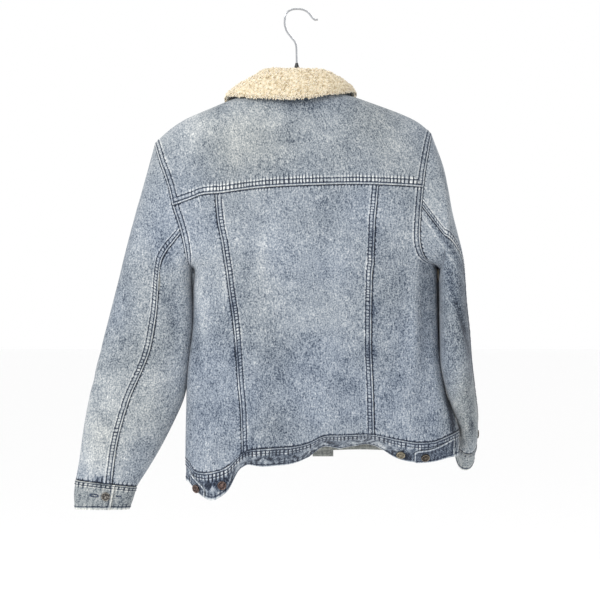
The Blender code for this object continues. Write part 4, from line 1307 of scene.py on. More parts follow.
@dataclass(frozen=True)
class CurledPile:
    """Polyester sherpa, knitted and tumbled until its pile curls: cream tips, painted down to tan as shade
    in the hollows.
    """

    name: str
    tip: str = "#E8DDC7"
    body: str = "#CCBD9F"
    painted_hollow_shade: str = "#917D5E"
    curl_mm: float = 1.9
    slot: str = "sherpa"

    def make(self) -> bpy.types.Material:
        """Build the material's nodes.

        Returns:
            The material.
        """
        values = {
            "Roughness": 0.95,
            "Specular IOR Level": 0.15,
            "Sheen Weight": 0.35,
            "Sheen Roughness": 0.5,
            "Subsurface Weight": 0.12,
            "Subsurface Radius": (0.004, 0.003, 0.002),
        }
        material, tree, shader = begin(self.name, values)
        place = add(tree, "TexCoord", {}, {}, "Object")
        inputs = {
            "Vector": place,
            "Scale": 500 / self.curl_mm,
            "Detail": 3.0,
            "Roughness": 0.65,
            "Distortion": 0.8,
        }
        curl = add(tree, "TexNoise", {}, inputs, "Fac")
        height = add(tree, "Attribute", {"attribute_name": "rub"}, {}, "Fac")
        total = add(tree, "Math", MULTIPLY_ADD, {0: height, 1: 0.55, 2: curl})
        # The pile is painted darker where its lumps and curls are low: painted shade in the hollows
        stops = ((0.22, self.painted_hollow_shade), (0.5, self.body), (0.8, self.tip))
        colour = add(tree, "ValToRGB", {"stops": stops}, {"Fac": total})
        tree.links.new(colour, shader.inputs["Base Color"])
        bump = add(tree, "Bump", {}, {"Strength": 0.6, "Distance": 1.0 * MM, "Height": curl})
        tree.links.new(bump, shader.inputs["Normal"])
        return material


@dataclass(frozen=True)
class Solid:
    """A hard finish, such as plated metal or moulded plastic: darker in its hollows, worn on top."""

    name: str
    colour: str
    worn: str
    metallic: float
    roughness: float
    slot: str
    mark_mm: float = 1.2
    relief: float = 0.0

    def make(self) -> bpy.types.Material:
        """Build the material's nodes.

        Returns:
            The material.
        """
        material, tree, shader = begin(self.name, {"Metallic": self.metallic})
        place = add(tree, "TexCoord", {}, {}, "Object")
        inputs = {"Vector": place, "Scale": 500 / self.mark_mm, "Detail": 4.0}
        marks = add(tree, "TexNoise", {}, inputs, "Fac")
        height = add(tree, "Attribute", {"attribute_name": "relief"}, {}, "Fac")
        tone = add(tree, "Math", MULTIPLY_ADD, {0: height, 1: self.relief, 2: marks})
        stops = ((0.35, self.colour), (0.68, self.worn))
        colour = add(tree, "ValToRGB", {"stops": stops}, {"Fac": tone})
        tree.links.new(colour, shader.inputs["Base Color"])
        inputs = {
            "Value": marks,
            "From Min": 0.3,
            "From Max": 0.7,
            "To Min": self.roughness * 0.8,
            "To Max": self.roughness * 1.25,
        }
        rough = add(tree, "MapRange", {}, inputs)
        tree.links.new(rough, shader.inputs["Roughness"])
        return material


Finish = WashedTwill | CurledPile | Solid

# Ring-spun cotton washed to blue-grey: indigo in the hollows, nearly white where it rubs; the darkest stops
# also carry the painted shade of grooves, gaps and troughs
COOL_STOPS = (
    (0.0, "#161D2B"), (0.2, "#3C4758"), (0.42, "#757F8C"),
    (0.6, "#949CA6"), (0.8, "#B8BDC2"), (1.0, "#DDE0E0"),
)
WARM_STOPS = (
    (0.0, "#1C222C"), (0.2, "#454D57"), (0.42, "#7C8387"),
    (0.6, "#9A9E9F"), (0.8, "#BBBDBA"), (1.0, "#E0E0DA"),
)
DENIM = WashedTwill("acid_washed_twill", COOL_STOPS, WARM_STOPS, 0.455)
# The hem band and tabs are drawn darker, at a lower level
BAND_DENIM = WashedTwill("acid_washed_band_twill", COOL_STOPS, WARM_STOPS, 0.30, "denim_band")
# The cuffs' outsides are rubbed evenly pale
CUFF_DENIM = WashedTwill("rubbed_cuff_twill", WARM_STOPS, WARM_STOPS, 0.43, "denim_band")
# Inside a twill the undyed weft shows, so it is pale and dull
WRONG_SIDE = WashedTwill(
    "twill_wrong_side",
    ((0.0, "#4A5054"), (0.5, "#7E8382"), (1.0, "#B0B3AE")),
    ((0.0, "#505355"), (0.5, "#868783"), (1.0, "#B8B7AE")),
    seams=0.3,
)
PILE = CurledPile("tumbled_sherpa")
# Copper plate darkened in a bath and rubbed back: brown hollows, warm rims
COPPER = Solid("antique_copper_plate", "#2E2624", "#86716A", 0.8, 0.5, "copper_button", 1.2, 0.22)
# The same plate worn through to a duller grey-brown, as on the cuffs
TARNISHED = Solid("tarnished_copper_plate", "#393735", "#A6A199", 0.75, 0.5, "copper_button", 1.2, 0.22)
# Rubbed nearly to brass, and one that stayed almost black
BRASSY = Solid("brassy_copper_plate", "#504B40", "#ABA18C", 0.75, 0.5, "copper_button", 1.2, 0.22)
BRONZED = Solid("blackened_copper_plate", "#25211D", "#8A8072", 0.75, 0.5, "copper_button", 1.2, 0.3)
# Bright nickel-chrome on drawn wire: a mirror with hair-fine scratches
CHROME = Solid("chromed_wire", "#A2A4A8", "#BEC0C3", 1.0, 0.16, "chrome_wire", 0.6)
BLACK_PLASTIC = Solid("moulded_black_plastic", "#101112", "#1B1C1E", 0.0, 0.45, "hanger_plastic", 2.0)
# Core-spun polyester thread in dark navy, darker than the twill
THREAD = Solid("core_spun_thread", "#2B364B", "#46536A", 0.0, 0.7, "denim", 0.5)


class Finishes:
    """The finishes as made materials, one each."""

    def __init__(self) -> None:
        """Keep none until asked."""
        self.made: dict[str, bpy.types.Material] = {}

    def get(self, finish: Finish) -> bpy.types.Material:
        """Make a finish's material the first time it is asked for.

        Args:
            finish: the finish.

        Returns:
            Its material.
        """
        if finish.name not in self.made:
            self.made[finish.name] = finish.make()
        return self.made[finish.name]


FINISHES = Finishes()


# ---- Cloth ----


class Edge(Enum):
    """The four borders of a panel's grid."""

    LEFT = "left"
    RIGHT = "right"
    LOW = "low"
    TOP = "top"


class Sewing(Enum):
    """How a panel is finished along a border."""

    FELLED = "felled over its neighbour: a raised band with two rows of stitches"
    UNDER = "passes under its neighbour's felled band"
    HEM = "turned and topstitched free edge, rubbed white"
    PLAIN = "ends against a seam with no topstitch of its own"


@dataclass(frozen=True)
class Border:
    """One border's sewing, with how its puckers stand, reach and repeat, and its crumples."""

    edge: Edge
    sewing: Sewing
    width: float = FELL_WIDTH
    pucker: float = 1.0
    seed: int = 1
    fade_below: float = -9999.0
    period: float = 7.6
    indigo: float = 0.15
    reach: float = 0.0
    crumple: float = 0.0


@dataclass(frozen=True)
class Crease:
    """A soft trough or ridge: centre, half length, half width, height and lean."""

    x: float
    z: float
    length: float
    width: float
    height: float
    lean: float
    # Tone of the crease: below 0 painted shade, above 0 a paler ridge that is part rubbing, part painted
    # highlight
    rub: float = 0.0

    def weight(self, grid: np.ndarray) -> np.ndarray:
        """Give the crease's share at each point of a grid.

        Args:
            grid: rows by columns of points.

        Returns:
            Shares from 0 to 1.
        """
        turn = math.radians(self.lean)
        dx, dz = grid[..., 0] - self.x, grid[..., 2] - self.z
        along = dz * math.cos(turn) + dx * math.sin(turn)
        across = dx * math.cos(turn) - dz * math.sin(turn)
        bend = across + 0.12 * self.width * np.sin(along / self.length * 3.1)
        return np.exp(-((along / self.length) ** 2) - (bend / self.width) ** 2)


@dataclass(frozen=True)
class ToneAndShadePatch:
    """A wide soft patch painted paler or darker, some of them painted shade: centre, reach and strength."""

    x: float
    z: float
    wide: float
    tall: float
    pale: float
    warm: float = 0.0

    def weight(self, grid: np.ndarray) -> np.ndarray:
        """Give the patch's share at each point of a grid."""
        dx, dz = (grid[..., 0] - self.x) / self.wide, (grid[..., 2] - self.z) / self.tall
        return np.exp(-(dx**2) - dz**2)


TONE_AND_SHADE_PATCHES = (
    ToneAndShadePatch(-150, -215, 110, 70, 0.13, 0.5),
    ToneAndShadePatch(0, -200, 140, 80, 0.02, 0.45),
    # Painted shadow under the collar's fall
    ToneAndShadePatch(0, -160, 70, 16, -0.14, 0.0),
    ToneAndShadePatch(150, -220, 80, 80, 0.03, 0.4),
    ToneAndShadePatch(-20, -420, 110, 90, 0.11, 0.15),
    ToneAndShadePatch(20, -650, 120, 90, -0.03, -0.25),
    ToneAndShadePatch(-160, -600, 40, 150, -0.03, -0.2),
    ToneAndShadePatch(200, -590, 40, 150, 0.02, -0.2),
    ToneAndShadePatch(-290, -600, 60, 90, 0.09, 0.1),
    ToneAndShadePatch(-330, -730, 55, 85, 0.22, 0.7),
    ToneAndShadePatch(-250, -420, 40, 100, 0.10, 0.1),
    # Painted shade on the right sleeve, which faces away from the key light
    ToneAndShadePatch(285, -500, 45, 130, -0.20, 0.1),
    ToneAndShadePatch(290, -680, 40, 80, 0.05, 0.8),
    ToneAndShadePatch(-331, -801, 16, 9, -0.5, -0.4),
    # Painted shade in the dent where the left sleeve meets the body
    ToneAndShadePatch(-228, -410, 16, 28, -0.22, -0.3),
    ToneAndShadePatch(-138, -358, 9, 18, -0.24, -0.3),
    ToneAndShadePatch(-111, -509, 9, 24, -0.22, -0.3),
    ToneAndShadePatch(-105, -588, 10, 22, -0.28, -0.35),
    ToneAndShadePatch(-100, -672, 22, 30, -0.09, -0.2),
    ToneAndShadePatch(-88, -742, 15, 16, -0.25, -0.3),
    ToneAndShadePatch(-124, -470, 5, 26, 0.16),
    ToneAndShadePatch(-106, -548, 5, 12, 0.16),
    ToneAndShadePatch(-101, -640, 5, 22, 0.14),
    ToneAndShadePatch(125, -510, 9, 16, -0.22, -0.3),
    ToneAndShadePatch(124, -578, 9, 22, -0.22, -0.3),
    ToneAndShadePatch(128, -398, 8, 24, -0.14, -0.2),
    ToneAndShadePatch(118, -450, 5, 30, 0.16),
    ToneAndShadePatch(120, -700, 9, 30, -0.12, -0.2),
    ToneAndShadePatch(148, -754, 18, 8, -0.42, -0.4),
    ToneAndShadePatch(180, -760, 14, 7, -0.38, -0.4),
    ToneAndShadePatch(-150, -800, 20, 12, -0.18, -0.2),
    ToneAndShadePatch(-20, -752, 40, 7, -0.14, -0.1),
    ToneAndShadePatch(-62, -425, 9, 62, 0.09, 0.1),
    ToneAndShadePatch(-86, -400, 8, 48, -0.06),
    ToneAndShadePatch(-178, -190, 10, 42, 0.07),
    ToneAndShadePatch(-108, -235, 9, 46, 0.06, 0.2),
    ToneAndShadePatch(-132, -170, 12, 34, -0.06),
    ToneAndShadePatch(60, -470, 10, 66, 0.05),
    ToneAndShadePatch(38, -385, 9, 44, -0.05),
)
# A patch narrower than this belongs to the back's own seams and doesn't reach the front
PATCH_WIDE = 30.0
# The yoke seam puckers every 5.8 mm, about two stitches
YOKE_TEETH = 5.8
# Puckers: their height, their mean swell and its limits, and how much the swell and the phase
# vary over how long a stretch of the seam
PUCKER_HEIGHT = 0.5
SWELL_MEAN = 0.8
SWELL_LIMITS = (0.15, 1.5)
SWELL_LONG, SWELL_LONG_SIZE = 0.55, 30
SWELL_SHORT, SWELL_SHORT_SIZE = 0.5, 6.5
DRIFT, DRIFT_SIZE = 0.5, 23
UNDER_PUCKER = 0.45
# A band fades out over this height, and its dye varies over this length of the seam
FADE_SOFT = 20
INDIGO_SIZE = 46
# A row of stitches pulls the cloth in by this much
ROW_DIP = 0.3
# Crumples of the hem band: their distance from its seam, half width, height and two sizes
CRUMPLE_CENTRE = 27.0
CRUMPLE_HALF = 11.0
CRUMPLE_HEIGHT = 1.3
CRUMPLE_SIZES = (5.5, 8.5)
HEM_WIDTH = 6.0
# Distances of the rows of stitches from the border, on a band of the usual width
FELLED_ROWS = (3.2, 9.4)
HEM_ROW = 5.5
FINE_CELL = 2.2
CLOTH_CELL = 3.4


class Cloth:
    """One panel of cloth: a fine shell on the solid's form, with sewing, creases, and painted tone that
    carries painted shade.
    """

    def __init__(
        self,
        node: str,
        grid: np.ndarray,
        outward: int,
        borders: Sequence[Border],
        creases: Sequence[Crease] = (),
        finish: Finish = DENIM,
        inside: Finish = WRONG_SIDE,
        wall: float = WALL,
        cell: float = CLOTH_CELL,
    ) -> None:
        """Take the panel's parts.

        Args:
            node: the CAD node that it replaces.
            grid: the solid's outer points.
            outward: 1 where rows cross columns outwards, else -1.
            borders: how its borders are sewn.
            creases: its creases.
            finish: the outer finish.
            inside: the inner finish.
            wall: its thickness.
            cell: the size of its faces away from the seams.
        """
        self.node, self.outward, self.borders = node, outward, borders
        self.creases, self.finish, self.inside, self.wall = creases, finish, inside, wall
        fine = {b.edge: b.width + 6 for b in borders if b.sewing is not Sewing.PLAIN}
        across = (fine.get(Edge.LEFT, 0), fine.get(Edge.RIGHT, 0))
        rising = (fine.get(Edge.LOW, 0), fine.get(Edge.TOP, 0))
        self.base = finer(grid, cell, across, rising)
        self.normal = surface_normals(self.base, outward)
        shape = self.base.shape[:2]
        self.height = np.zeros(shape)
        self.marks = {
            "rub": np.zeros(shape),
            "felled": np.full(shape, SEAM_REACH),
            "under": np.full(shape, SEAM_REACH),
            "hem": np.full(shape, SEAM_REACH),
            "warm": np.full(shape, 0.3),
            "phase": np.zeros(shape),
            "teeth": np.zeros(shape),
        }
        self.nearest = np.full(shape, SEAM_REACH)

    def distance(self, edge: Edge) -> tuple[np.ndarray, np.ndarray]:
        """Measure from a border.

        Args:
            edge: which border.

        Returns:
            Each point's distance from it, and its place along it.
        """
        across, rising = runs(self.base, 1), runs(self.base, 0)
        if edge is Edge.LEFT:
            return across, np.broadcast_to(rising[:, :1], across.shape)
        if edge is Edge.RIGHT:
            return across[:, -1:] - across, np.broadcast_to(rising[:, -1:], across.shape)
        if edge is Edge.LOW:
            return rising, np.broadcast_to(across[:1], across.shape)
        return rising[-1:] - rising, np.broadcast_to(across[-1:], across.shape)

    def sew(self) -> None:
        """Raise felled bands, pucker the cloth along its seams and mark where they run."""
        plain_width = {Sewing.FELLED: FELL_WIDTH, Sewing.HEM: HEM_WIDTH}
        for border in self.borders:
            if border.sewing is Sewing.PLAIN:
                continue
            far, along = self.distance(border.edge)
            fade = ease((self.base[..., 2] - border.fade_below) / FADE_SOFT)
            phase = along / border.period + DRIFT * wander(along, DRIFT_SIZE, border.seed)
            swell = SWELL_MEAN + SWELL_LONG * wander(along, SWELL_LONG_SIZE, border.seed + 5)
            swell = swell + SWELL_SHORT * wander(along, SWELL_SHORT_SIZE, border.seed + 13)
            swell = np.clip(swell, *SWELL_LIMITS) * border.pucker * fade
            patch = wander(along, INDIGO_SIZE, border.seed + 9)
            tooth = np.sin(2 * math.pi * phase)
            gone = (1 - fade) * SEAM_REACH
            kind = border.sewing.name.lower()
            scaled = far * plain_width.get(border.sewing, border.width) / border.width
            self.marks[kind] = np.minimum(self.marks[kind], scaled + gone)
            near = far < self.nearest
            self.nearest = np.where(near, far, self.nearest)
            self.marks["phase"] = np.where(near, phase, self.marks["phase"])
            beyond = ease((far - border.width * 0.74) / 2.4) * (border.sewing is Sewing.FELLED)
            held = swell * (1 - (1 - border.reach) * beyond)
            self.marks["teeth"] = np.where(near, held, self.marks["teeth"])
            self.marks["rub"] -= border.indigo * ease(patch + 0.1) * step_to(far, border.width + 2, 6) * fade
            if border.crumple:
                streak = wander(along + 0.7 * far, CRUMPLE_SIZES[0], border.seed + 17)
                streak = streak * wander(along - 1.1 * far, CRUMPLE_SIZES[1], border.seed + 23)
                zone = band_of(far, CRUMPLE_CENTRE, CRUMPLE_HALF)
                # Crumples are painted paler where they rise and darker where they sink: painted highlight
                # and shade, partly the rubbing of their ridges
                self.marks["rub"] += border.crumple * np.clip(streak * 3.2, -0.7, 1.0) * zone
                self.height += CRUMPLE_HEIGHT * border.crumple * streak * zone
            if border.sewing is Sewing.FELLED:
                ridge = band_of(far, border.width * 0.55, border.width * 0.4)
                self.height += FELL_RAISE * step_to(far, border.width, 2.4) * fade
                self.height -= PUCKER_HEIGHT * tooth * swell * ridge
                rows = band_of(far, FELLED_ROWS[0], 1.0) + band_of(far, border.width - 2, 1.0)
                self.height -= ROW_DIP * rows * fade
            elif border.sewing is Sewing.UNDER:
                self.height -= UNDER_PUCKER * PUCKER_HEIGHT * tooth * swell * band_of(far, 1.0, 6.5)
            elif border.sewing is Sewing.HEM:
                self.height -= PUCKER_HEIGHT * tooth * swell * band_of(far, border.width, 5)
                self.height += 0.5 * step_to(far, border.width, 2) - 0.7 * band_of(far, 0, 1.2)

    def crease(self) -> None:
        """Press the creases into the cloth, with painted shade in their troughs and a paler ridge that is
        part rubbing, part painted highlight; then paint the patches of tone and shade.
        """
        for crease in self.creases:
            weight = crease.weight(self.base)
            self.height += crease.height * weight
            self.marks["rub"] += crease.rub * weight
        back = ease(0.6 - 2 * self.normal[..., 1])
        # The patches paint tone, and some paint shade: under the collar, on the right sleeve and where the
        # left sleeve meets the body
        for fade in TONE_AND_SHADE_PATCHES:
            weight = fade.weight(self.base) / TONE_AND_SHADE_WEIGHT
            if fade.wide < PATCH_WIDE:
                weight = weight * back
            self.marks["rub"] += fade.pale * weight
            self.marks["warm"] += fade.warm * weight * TONE_AND_SHADE_WEIGHT

    def outer(self) -> np.ndarray:
        """Give the finished outer points.

        Returns:
            Rows by columns of points, half a seam gap back from the borders.
        """
        border = np.zeros(self.base.shape)
        border[0] += unit(self.base[1] - self.base[0])
        border[-1] += unit(self.base[-2] - self.base[-1])
        border[:, 0] += unit(self.base[:, 1] - self.base[:, 0])
        border[:, -1] += unit(self.base[:, -2] - self.base[:, -1])
        return self.base + border * (SEAM_GAP / 2) + self.normal * self.height[..., None]

    def build(self) -> bpy.types.Object:
        """Make the shell, finish it and let it stand for its node.

        Returns:
            The object.
        """
        self.sew()
        self.crease()
        outer = self.outer()
        edge = np.minimum.reduce([self.distance(e)[0] for e in Edge])
        thick = self.wall * (0.45 + 0.55 * ease(edge / 7))
        inner = outer - self.normal * (thick + self.height)[..., None]
        plan = np.stack([runs(self.base, 1), runs(self.base, 0)], -1) * MM
        obj = shell(self.node + "_cloth", outer, inner, self.outward, self.marks, plan)
        obj.data.materials.append(FINISHES.get(self.finish))
        obj.data.materials.append(FINISHES.get(self.inside))
        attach(obj, "root")
        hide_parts(self.node)
        return obj

    def fade_of(self, edge: Edge) -> float:
        """Give the height below which a border's band fades out."""
        return next(b.fade_below for b in self.borders if b.edge is edge)

    def row_at(self, edge: Edge, far: float) -> tuple[np.ndarray, np.ndarray]:
        """Find a line of sewing on the finished cloth.

        Args:
            edge: the border that it follows.
            far: its distance from that border.

        Returns:
            The line's points and the cloth's normals there.
        """
        across, _ = self.distance(edge)
        outer, normal = self.outer(), self.normal
        if edge in (Edge.LOW, Edge.TOP):
            across, outer, normal = across.T, outer.transpose(1, 0, 2), normal.transpose(1, 0, 2)
        if edge in (Edge.RIGHT, Edge.TOP):
            across, outer, normal = across[:, ::-1], outer[:, ::-1], normal[:, ::-1]
        points = [[np.interp(far, a, o[:, k]) for k in range(3)] for a, o in zip(across, outer)]
        normals = [[np.interp(far, a, n[:, k]) for k in range(3)] for a, n in zip(across, normal)]
        return np.array(points), unit(np.array(normals))


def shell(
    name: str,
    outer: np.ndarray,
    inner: np.ndarray,
    outward: int,
    marks: dict[str, np.ndarray],
    plan: np.ndarray,
) -> bpy.types.Object:
    """Make a closed shell between two grids of one layout.

    Args:
        name: the object's name.
        outer: the outer points.
        inner: the inner points.
        outward: 1 where rows cross columns outwards, else -1.
        marks: named readings of the outer points, such as how much each is painted paler or darker, painted
            shade included.
        plan: each point's place on the flat cloth, in metres.

    Returns:
        The object, its inner faces in the second material slot.
    """
    rows, cols = outer.shape[:2]
    number = np.arange(rows * cols).reshape(rows, cols)
    a, b = number[:-1, :-1].ravel(), number[:-1, 1:].ravel()
    c, d = number[1:, 1:].ravel(), number[1:, :-1].ravel()
    top = np.stack([a, b, c, d], 1)
    loop = np.concatenate([number[0, :-1], number[:-1, -1], number[-1, :0:-1], number[:0:-1, 0]])
    after = np.roll(loop, -1)
    offset = rows * cols
    rim = np.stack([loop, loop + offset, after + offset, after], 1)
    under = top[:, ::-1] + offset
    faces = np.concatenate([top, rim, under])
    if outward < 0:
        faces = faces[:, ::-1]
    points = np.concatenate([outer.reshape(-1, 3), inner.reshape(-1, 3)]) * MM
    mesh = bpy.data.meshes.new(name)
    mesh.vertices.add(len(points))
    mesh.vertices.foreach_set("co", points.ravel())
    mesh.loops.add(faces.size)
    mesh.loops.foreach_set("vertex_index", faces.ravel())
    mesh.polygons.add(len(faces))
    mesh.polygons.foreach_set("loop_start", np.arange(len(faces)) * 4)
    kind = np.zeros(len(faces), dtype=np.int32)
    kind[len(top) + len(rim) :] = 1
    mesh.update(calc_edges=True)
    mesh.polygons.foreach_set("material_index", kind)
    uv = mesh.uv_layers.new(name="cloth")
    flat = np.concatenate([plan.reshape(-1, 2), plan.reshape(-1, 2)])
    uv.data.foreach_set("uv", flat[faces.ravel()].ravel())
    for mark, values in marks.items():
        stored = mesh.attributes.new(mark, "FLOAT", "POINT")
        stored.data.foreach_set("value", np.concatenate([values.ravel(), values.ravel()]))
    mesh.shade_smooth()
    mesh.set_sharp_from_angle(angle=math.radians(60))
    return linked(name, mesh)


@dataclass(frozen=True)
class Slot:
    """A whipped buttonhole or bar tack on a back-facing panel: its centre, length, width and lean."""

    x: float
    z: float
    length: float
    width: float
    lean: float


@dataclass
class Stitches:
    """Topstitching in dark thread: every stitch a small capsule that dips at both ends."""

    pitch: float = 3.2
    length: float = 2.5
    radius: float = 0.42
    lift: float = 0.30
    dip: float = 0.45
    sides: int = 4
    whip_pitch: float = 0.8
    whip_length: float = 2.8
    back_facing: float = -0.3
    near_points: int = 12
    outermost: int = 4
    places: list[np.ndarray] = field(default_factory=list)

    def one(self, centre: np.ndarray, along: np.ndarray, normal: np.ndarray, length: float) -> None:
        """Sew stitches at the given places.

        Args:
            centre: their middles.
            along: unit directions of the thread.
            normal: the cloth's unit normals.
            length: each stitch's length.
        """
        side = unit(np.cross(along, normal))
        shares = np.array([-0.5, -0.36, -0.14, 0.14, 0.36, 0.5])
        sizes = np.array([0.15, 0.8, 1.0, 1.0, 0.8, 0.15]) * self.radius
        rise = self.lift - self.dip * (2 * shares) ** 4
        turns = np.linspace(0, 2 * math.pi, self.sides, endpoint=False)
        high = (np.cos(turns) * sizes[:, None])[None, :, :, None]
        wide = (np.sin(turns) * sizes[:, None])[None, :, :, None]
        points = (
            centre[:, None, None]
            + along[:, None, None] * (shares * length)[None, :, None, None]
            + normal[:, None, None] * (rise[None, :, None, None] + high)
            + side[:, None, None] * wide
        )
        self.places.append(points)

    def row(self, cloth: Cloth, edge: Edge, far: float) -> None:
        """Sew one row along a border.

        Args:
            cloth: the panel.
            edge: the border that the row follows.
            far: its distance from that border.
        """
        points, normals = cloth.row_at(edge, far)
        run = np.concatenate([[0], np.cumsum(np.linalg.norm(np.diff(points, axis=0), axis=1))])
        low = cloth.fade_of(edge)
        count = int(run[-1] / self.pitch)
        at = (np.arange(count) + 0.5) * run[-1] / count

        def read(values: np.ndarray, places: np.ndarray) -> np.ndarray:
            """Read a line of vectors at places along it."""
            return np.stack([np.interp(places, run, values[:, k]) for k in range(3)], -1)

        centre = read(points, at)
        along = unit(read(points, at + 1.0) - read(points, at - 1.0))
        normal = unit(read(normals, at))
        keep = centre[:, 2] > low
        self.one(centre[keep], along[keep], normal[keep], self.length)

    def whip(self, cloth: Cloth, slot: Slot) -> None:
        """Whip round a slot with close short stitches.

        Args:
            cloth: the panel that it lies on.
            slot: the buttonhole or bar tack.
        """
        turn = math.radians(slot.lean)
        count = int(2 * (slot.length + slot.width) / self.whip_pitch)
        t = np.linspace(0, 2 * math.pi, count, endpoint=False)
        along, across = np.cos(t) * slot.length / 2, np.sin(t) * slot.width / 2
        x = slot.x + along * math.cos(turn) - across * math.sin(turn)
        z = slot.z + along * math.sin(turn) + across * math.cos(turn)
        outer, normal = cloth.outer().reshape(-1, 3), cloth.normal.reshape(-1, 3)
        facing = normal[:, 1] < self.back_facing
        outer, normal = outer[facing], normal[facing]
        far = np.hypot(outer[:, 0][None] - x[:, None], outer[:, 2][None] - z[:, None])
        near = np.argsort(far, axis=1)[:, : self.near_points]
        top = np.argsort(outer[near][..., 1], axis=1)[:, : self.outermost]
        near = np.take_along_axis(near, top, 1)
        share = 1 / (np.take_along_axis(far, near, 1) + 0.1)
        share = (share / share.sum(1, keepdims=True))[..., None]
        seat = np.stack([x, (outer[near] * share).sum(1)[:, 1], z], -1)
        up = unit((normal[near] * share).sum(1))
        lean = np.tile([-math.sin(turn), 0.0, math.cos(turn)], (count, 1))
        out = unit(lean - up * (lean * up).sum(-1, keepdims=True))
        self.one(seat, out, up, self.whip_length)

    def along_seams(self, cloths: Sequence[Cloth]) -> None:
        """Sew every felled band twice and every hem once.

        Args:
            cloths: the panels.
        """
        for cloth in cloths:
            for border in cloth.borders:
                if border.sewing is Sewing.FELLED:
                    share = border.width / FELL_WIDTH
                    for far in FELLED_ROWS:
                        self.row(cloth, border.edge, far * share)
                elif border.sewing is Sewing.HEM:
                    self.row(cloth, border.edge, HEM_ROW * border.width / HEM_WIDTH)

    def build(self, name: str) -> None:
        """Join the stitches into one piece.

        Args:
            name: the piece's name.
        """
        points = np.concatenate(self.places)
        joined_tubes(name, points, THREAD)
        LOG.info("%s: %d stitches", name, len(points))


def joined_tubes(name: str, points: np.ndarray, finish: Finish) -> bpy.types.Object:
    """Join many small tubes into one piece.

    Args:
        name: the piece's name.
        points: tubes by rings by sides of points.
        finish: its finish.

    Returns:
        The object.
    """
    number, rings, sides = points.shape[:3]
    base = (np.arange(number) * rings * sides)[:, None, None]
    step = np.arange(rings - 1)[None, :, None] * sides
    k = np.arange(sides)[None, None, :]
    after = (k + 1) % sides
    low, high = base + step, base + step + sides
    quads = np.stack([low + k, low + after, high + after, high + k], -1)
    faces = quads.reshape(-1, 4).tolist()
    for end, order in ((0, -1), (rings - 1, 1)):
        faces += (base[:, 0] + end * sides + k[0])[:, ::order].tolist()
    mesh = bpy.data.meshes.new(name)
    mesh.from_pydata((points.reshape(-1, 3) * MM).tolist(), [], faces)
    mesh.shade_smooth()
    obj = linked(name, mesh, [FINISHES.get(finish)])
    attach(obj, "root")
    return obj


# ---- Sub-assemblies ----


# Creases: their dark tone in troughs is painted shade, their pale tone on ridges part painted highlight,
# part rubbing
BACK_CREASES = (
    Crease(-150, -640, 70, 9, -1.6, -6, -0.10),
    Crease(-166, -500, 55, 7, 1.8, -4, 0.16),
    Crease(-30, -700, 48, 10, -1.5, -6, -0.12),
    Crease(50, -660, 62, 12, 1.6, 8, 0.10),
    Crease(20, -520, 46, 9, 1.0, 62, 0.12),
    Crease(-40, -420, 60, 8, -1.0, 70, -0.10),
    Crease(-60, -360, 50, 12, -1.2, 12, -0.14),
    Crease(-62, -545, 70, 10, 1.1, 10, 0.16),
)
SIDE_RIGHT_CREASES = (
    Crease(212, -500, 120, 8, -2.0, 2, -0.16),
    Crease(236, -640, 70, 12, 3.0, 0),
    # A flat strip of painted shadow in the gap between the body's edge and the right sleeve
    Crease(255, -675, 62, 5, 0.0, -10, -1.3),
    Crease(196, -520, 100, 9, 1.8, 2, 0.10),
    Crease(180, -690, 48, 10, 1.8, -14, 0.14),
    Crease(168, -600, 70, 9, -1.2, 8, -0.10),
)
SIDE_LEFT_CREASES = (
    Crease(-181, -500, 80, 15, 3.4, 0),
    Crease(-181, -612, 80, 15, 3.4, 0),
    Crease(-163, -510, 70, 8, 2.0, -5, 0.20),
    Crease(-172, -560, 90, 7, -1.6, -3, -0.20),
    Crease(-150, -740, 34, 12, 2.4, 12, 0.15),
    Crease(-140, -640, 66, 9, -1.4, -8, -0.12),
)
YOKE_CREASES = (
    Crease(-12, -225, 24, 3.5, -0.9, 90, -0.40),
    Crease(-190, -332, 12, 4, -1.4, 84, -0.50),
    Crease(-150, -306, 9, 5, 1.5, 90, 0.80),
    Crease(150, -240, 40, 11, -1.0, -30, -0.08),
    Crease(-150, -240, 44, 12, -1.0, 32, -0.08),
    Crease(60, -190, 40, 12, 0.9, 76, 0.08),
)
FRONT_CREASES = (
    Crease(-181, -500, 80, 15, 3.4, 0),
    Crease(-181, -612, 80, 15, 3.4, 0),
    Crease(236, -640, 70, 12, 3.0, 0),
    Crease(-120, -480, 70, 10, -1.8, -10, -0.14),
    Crease(-90, -600, 60, 9, 1.6, 14, 0.12),
    Crease(-150, -420, 50, 8, 1.8, -24, 0.14),
    Crease(110, -450, 80, 10, -1.7, 12, -0.12),
    Crease(150, -560, 60, 9, 1.6, -8, 0.12),
    Crease(80, -640, 50, 10, -1.4, 18, -0.10),
    Crease(170, -400, 44, 8, 1.9, 26, 0.14),
    Crease(-60, -330, 60, 9, 1.2, 64, 0.10),
    Crease(90, -320, 50, 10, -1.2, -58, -0.10),
)
LEFT_SLEEVE_CREASES = (
    Crease(-186, -500, 80, 20, 4.6, 0),
    Crease(-192, -612, 80, 20, 4.6, 0),
    Crease(-232, -470, 70, 9, -2.4, -14, -0.30),
    Crease(-262, -540, 58, 8, 1.8, -10, 0.22),
    Crease(-300, -600, 44, 8, -1.6, -60, -0.14),
    Crease(-288, -660, 52, 8, 1.6, -52, 0.18),
    Crease(-320, -700, 40, 7, -1.8, -44, -0.18),
    Crease(-270, -700, 40, 8, 1.6, 30, 0.16),
    Crease(-305, -760, 30, 7, -1.8, -36, -0.20),
    Crease(-352, -770, 34, 6, 1.6, 8, 0.20),
    Crease(-250, -380, 40, 9, 1.4, -28, 0.10),
    Crease(-345, -640, 60, 8, -1.2, -14, -0.10),
    Crease(-210, -520, 60, 7, -1.8, 0, -0.24),
    Crease(-330, -796, 16, 7, 1.7, 16, 0.22),
)
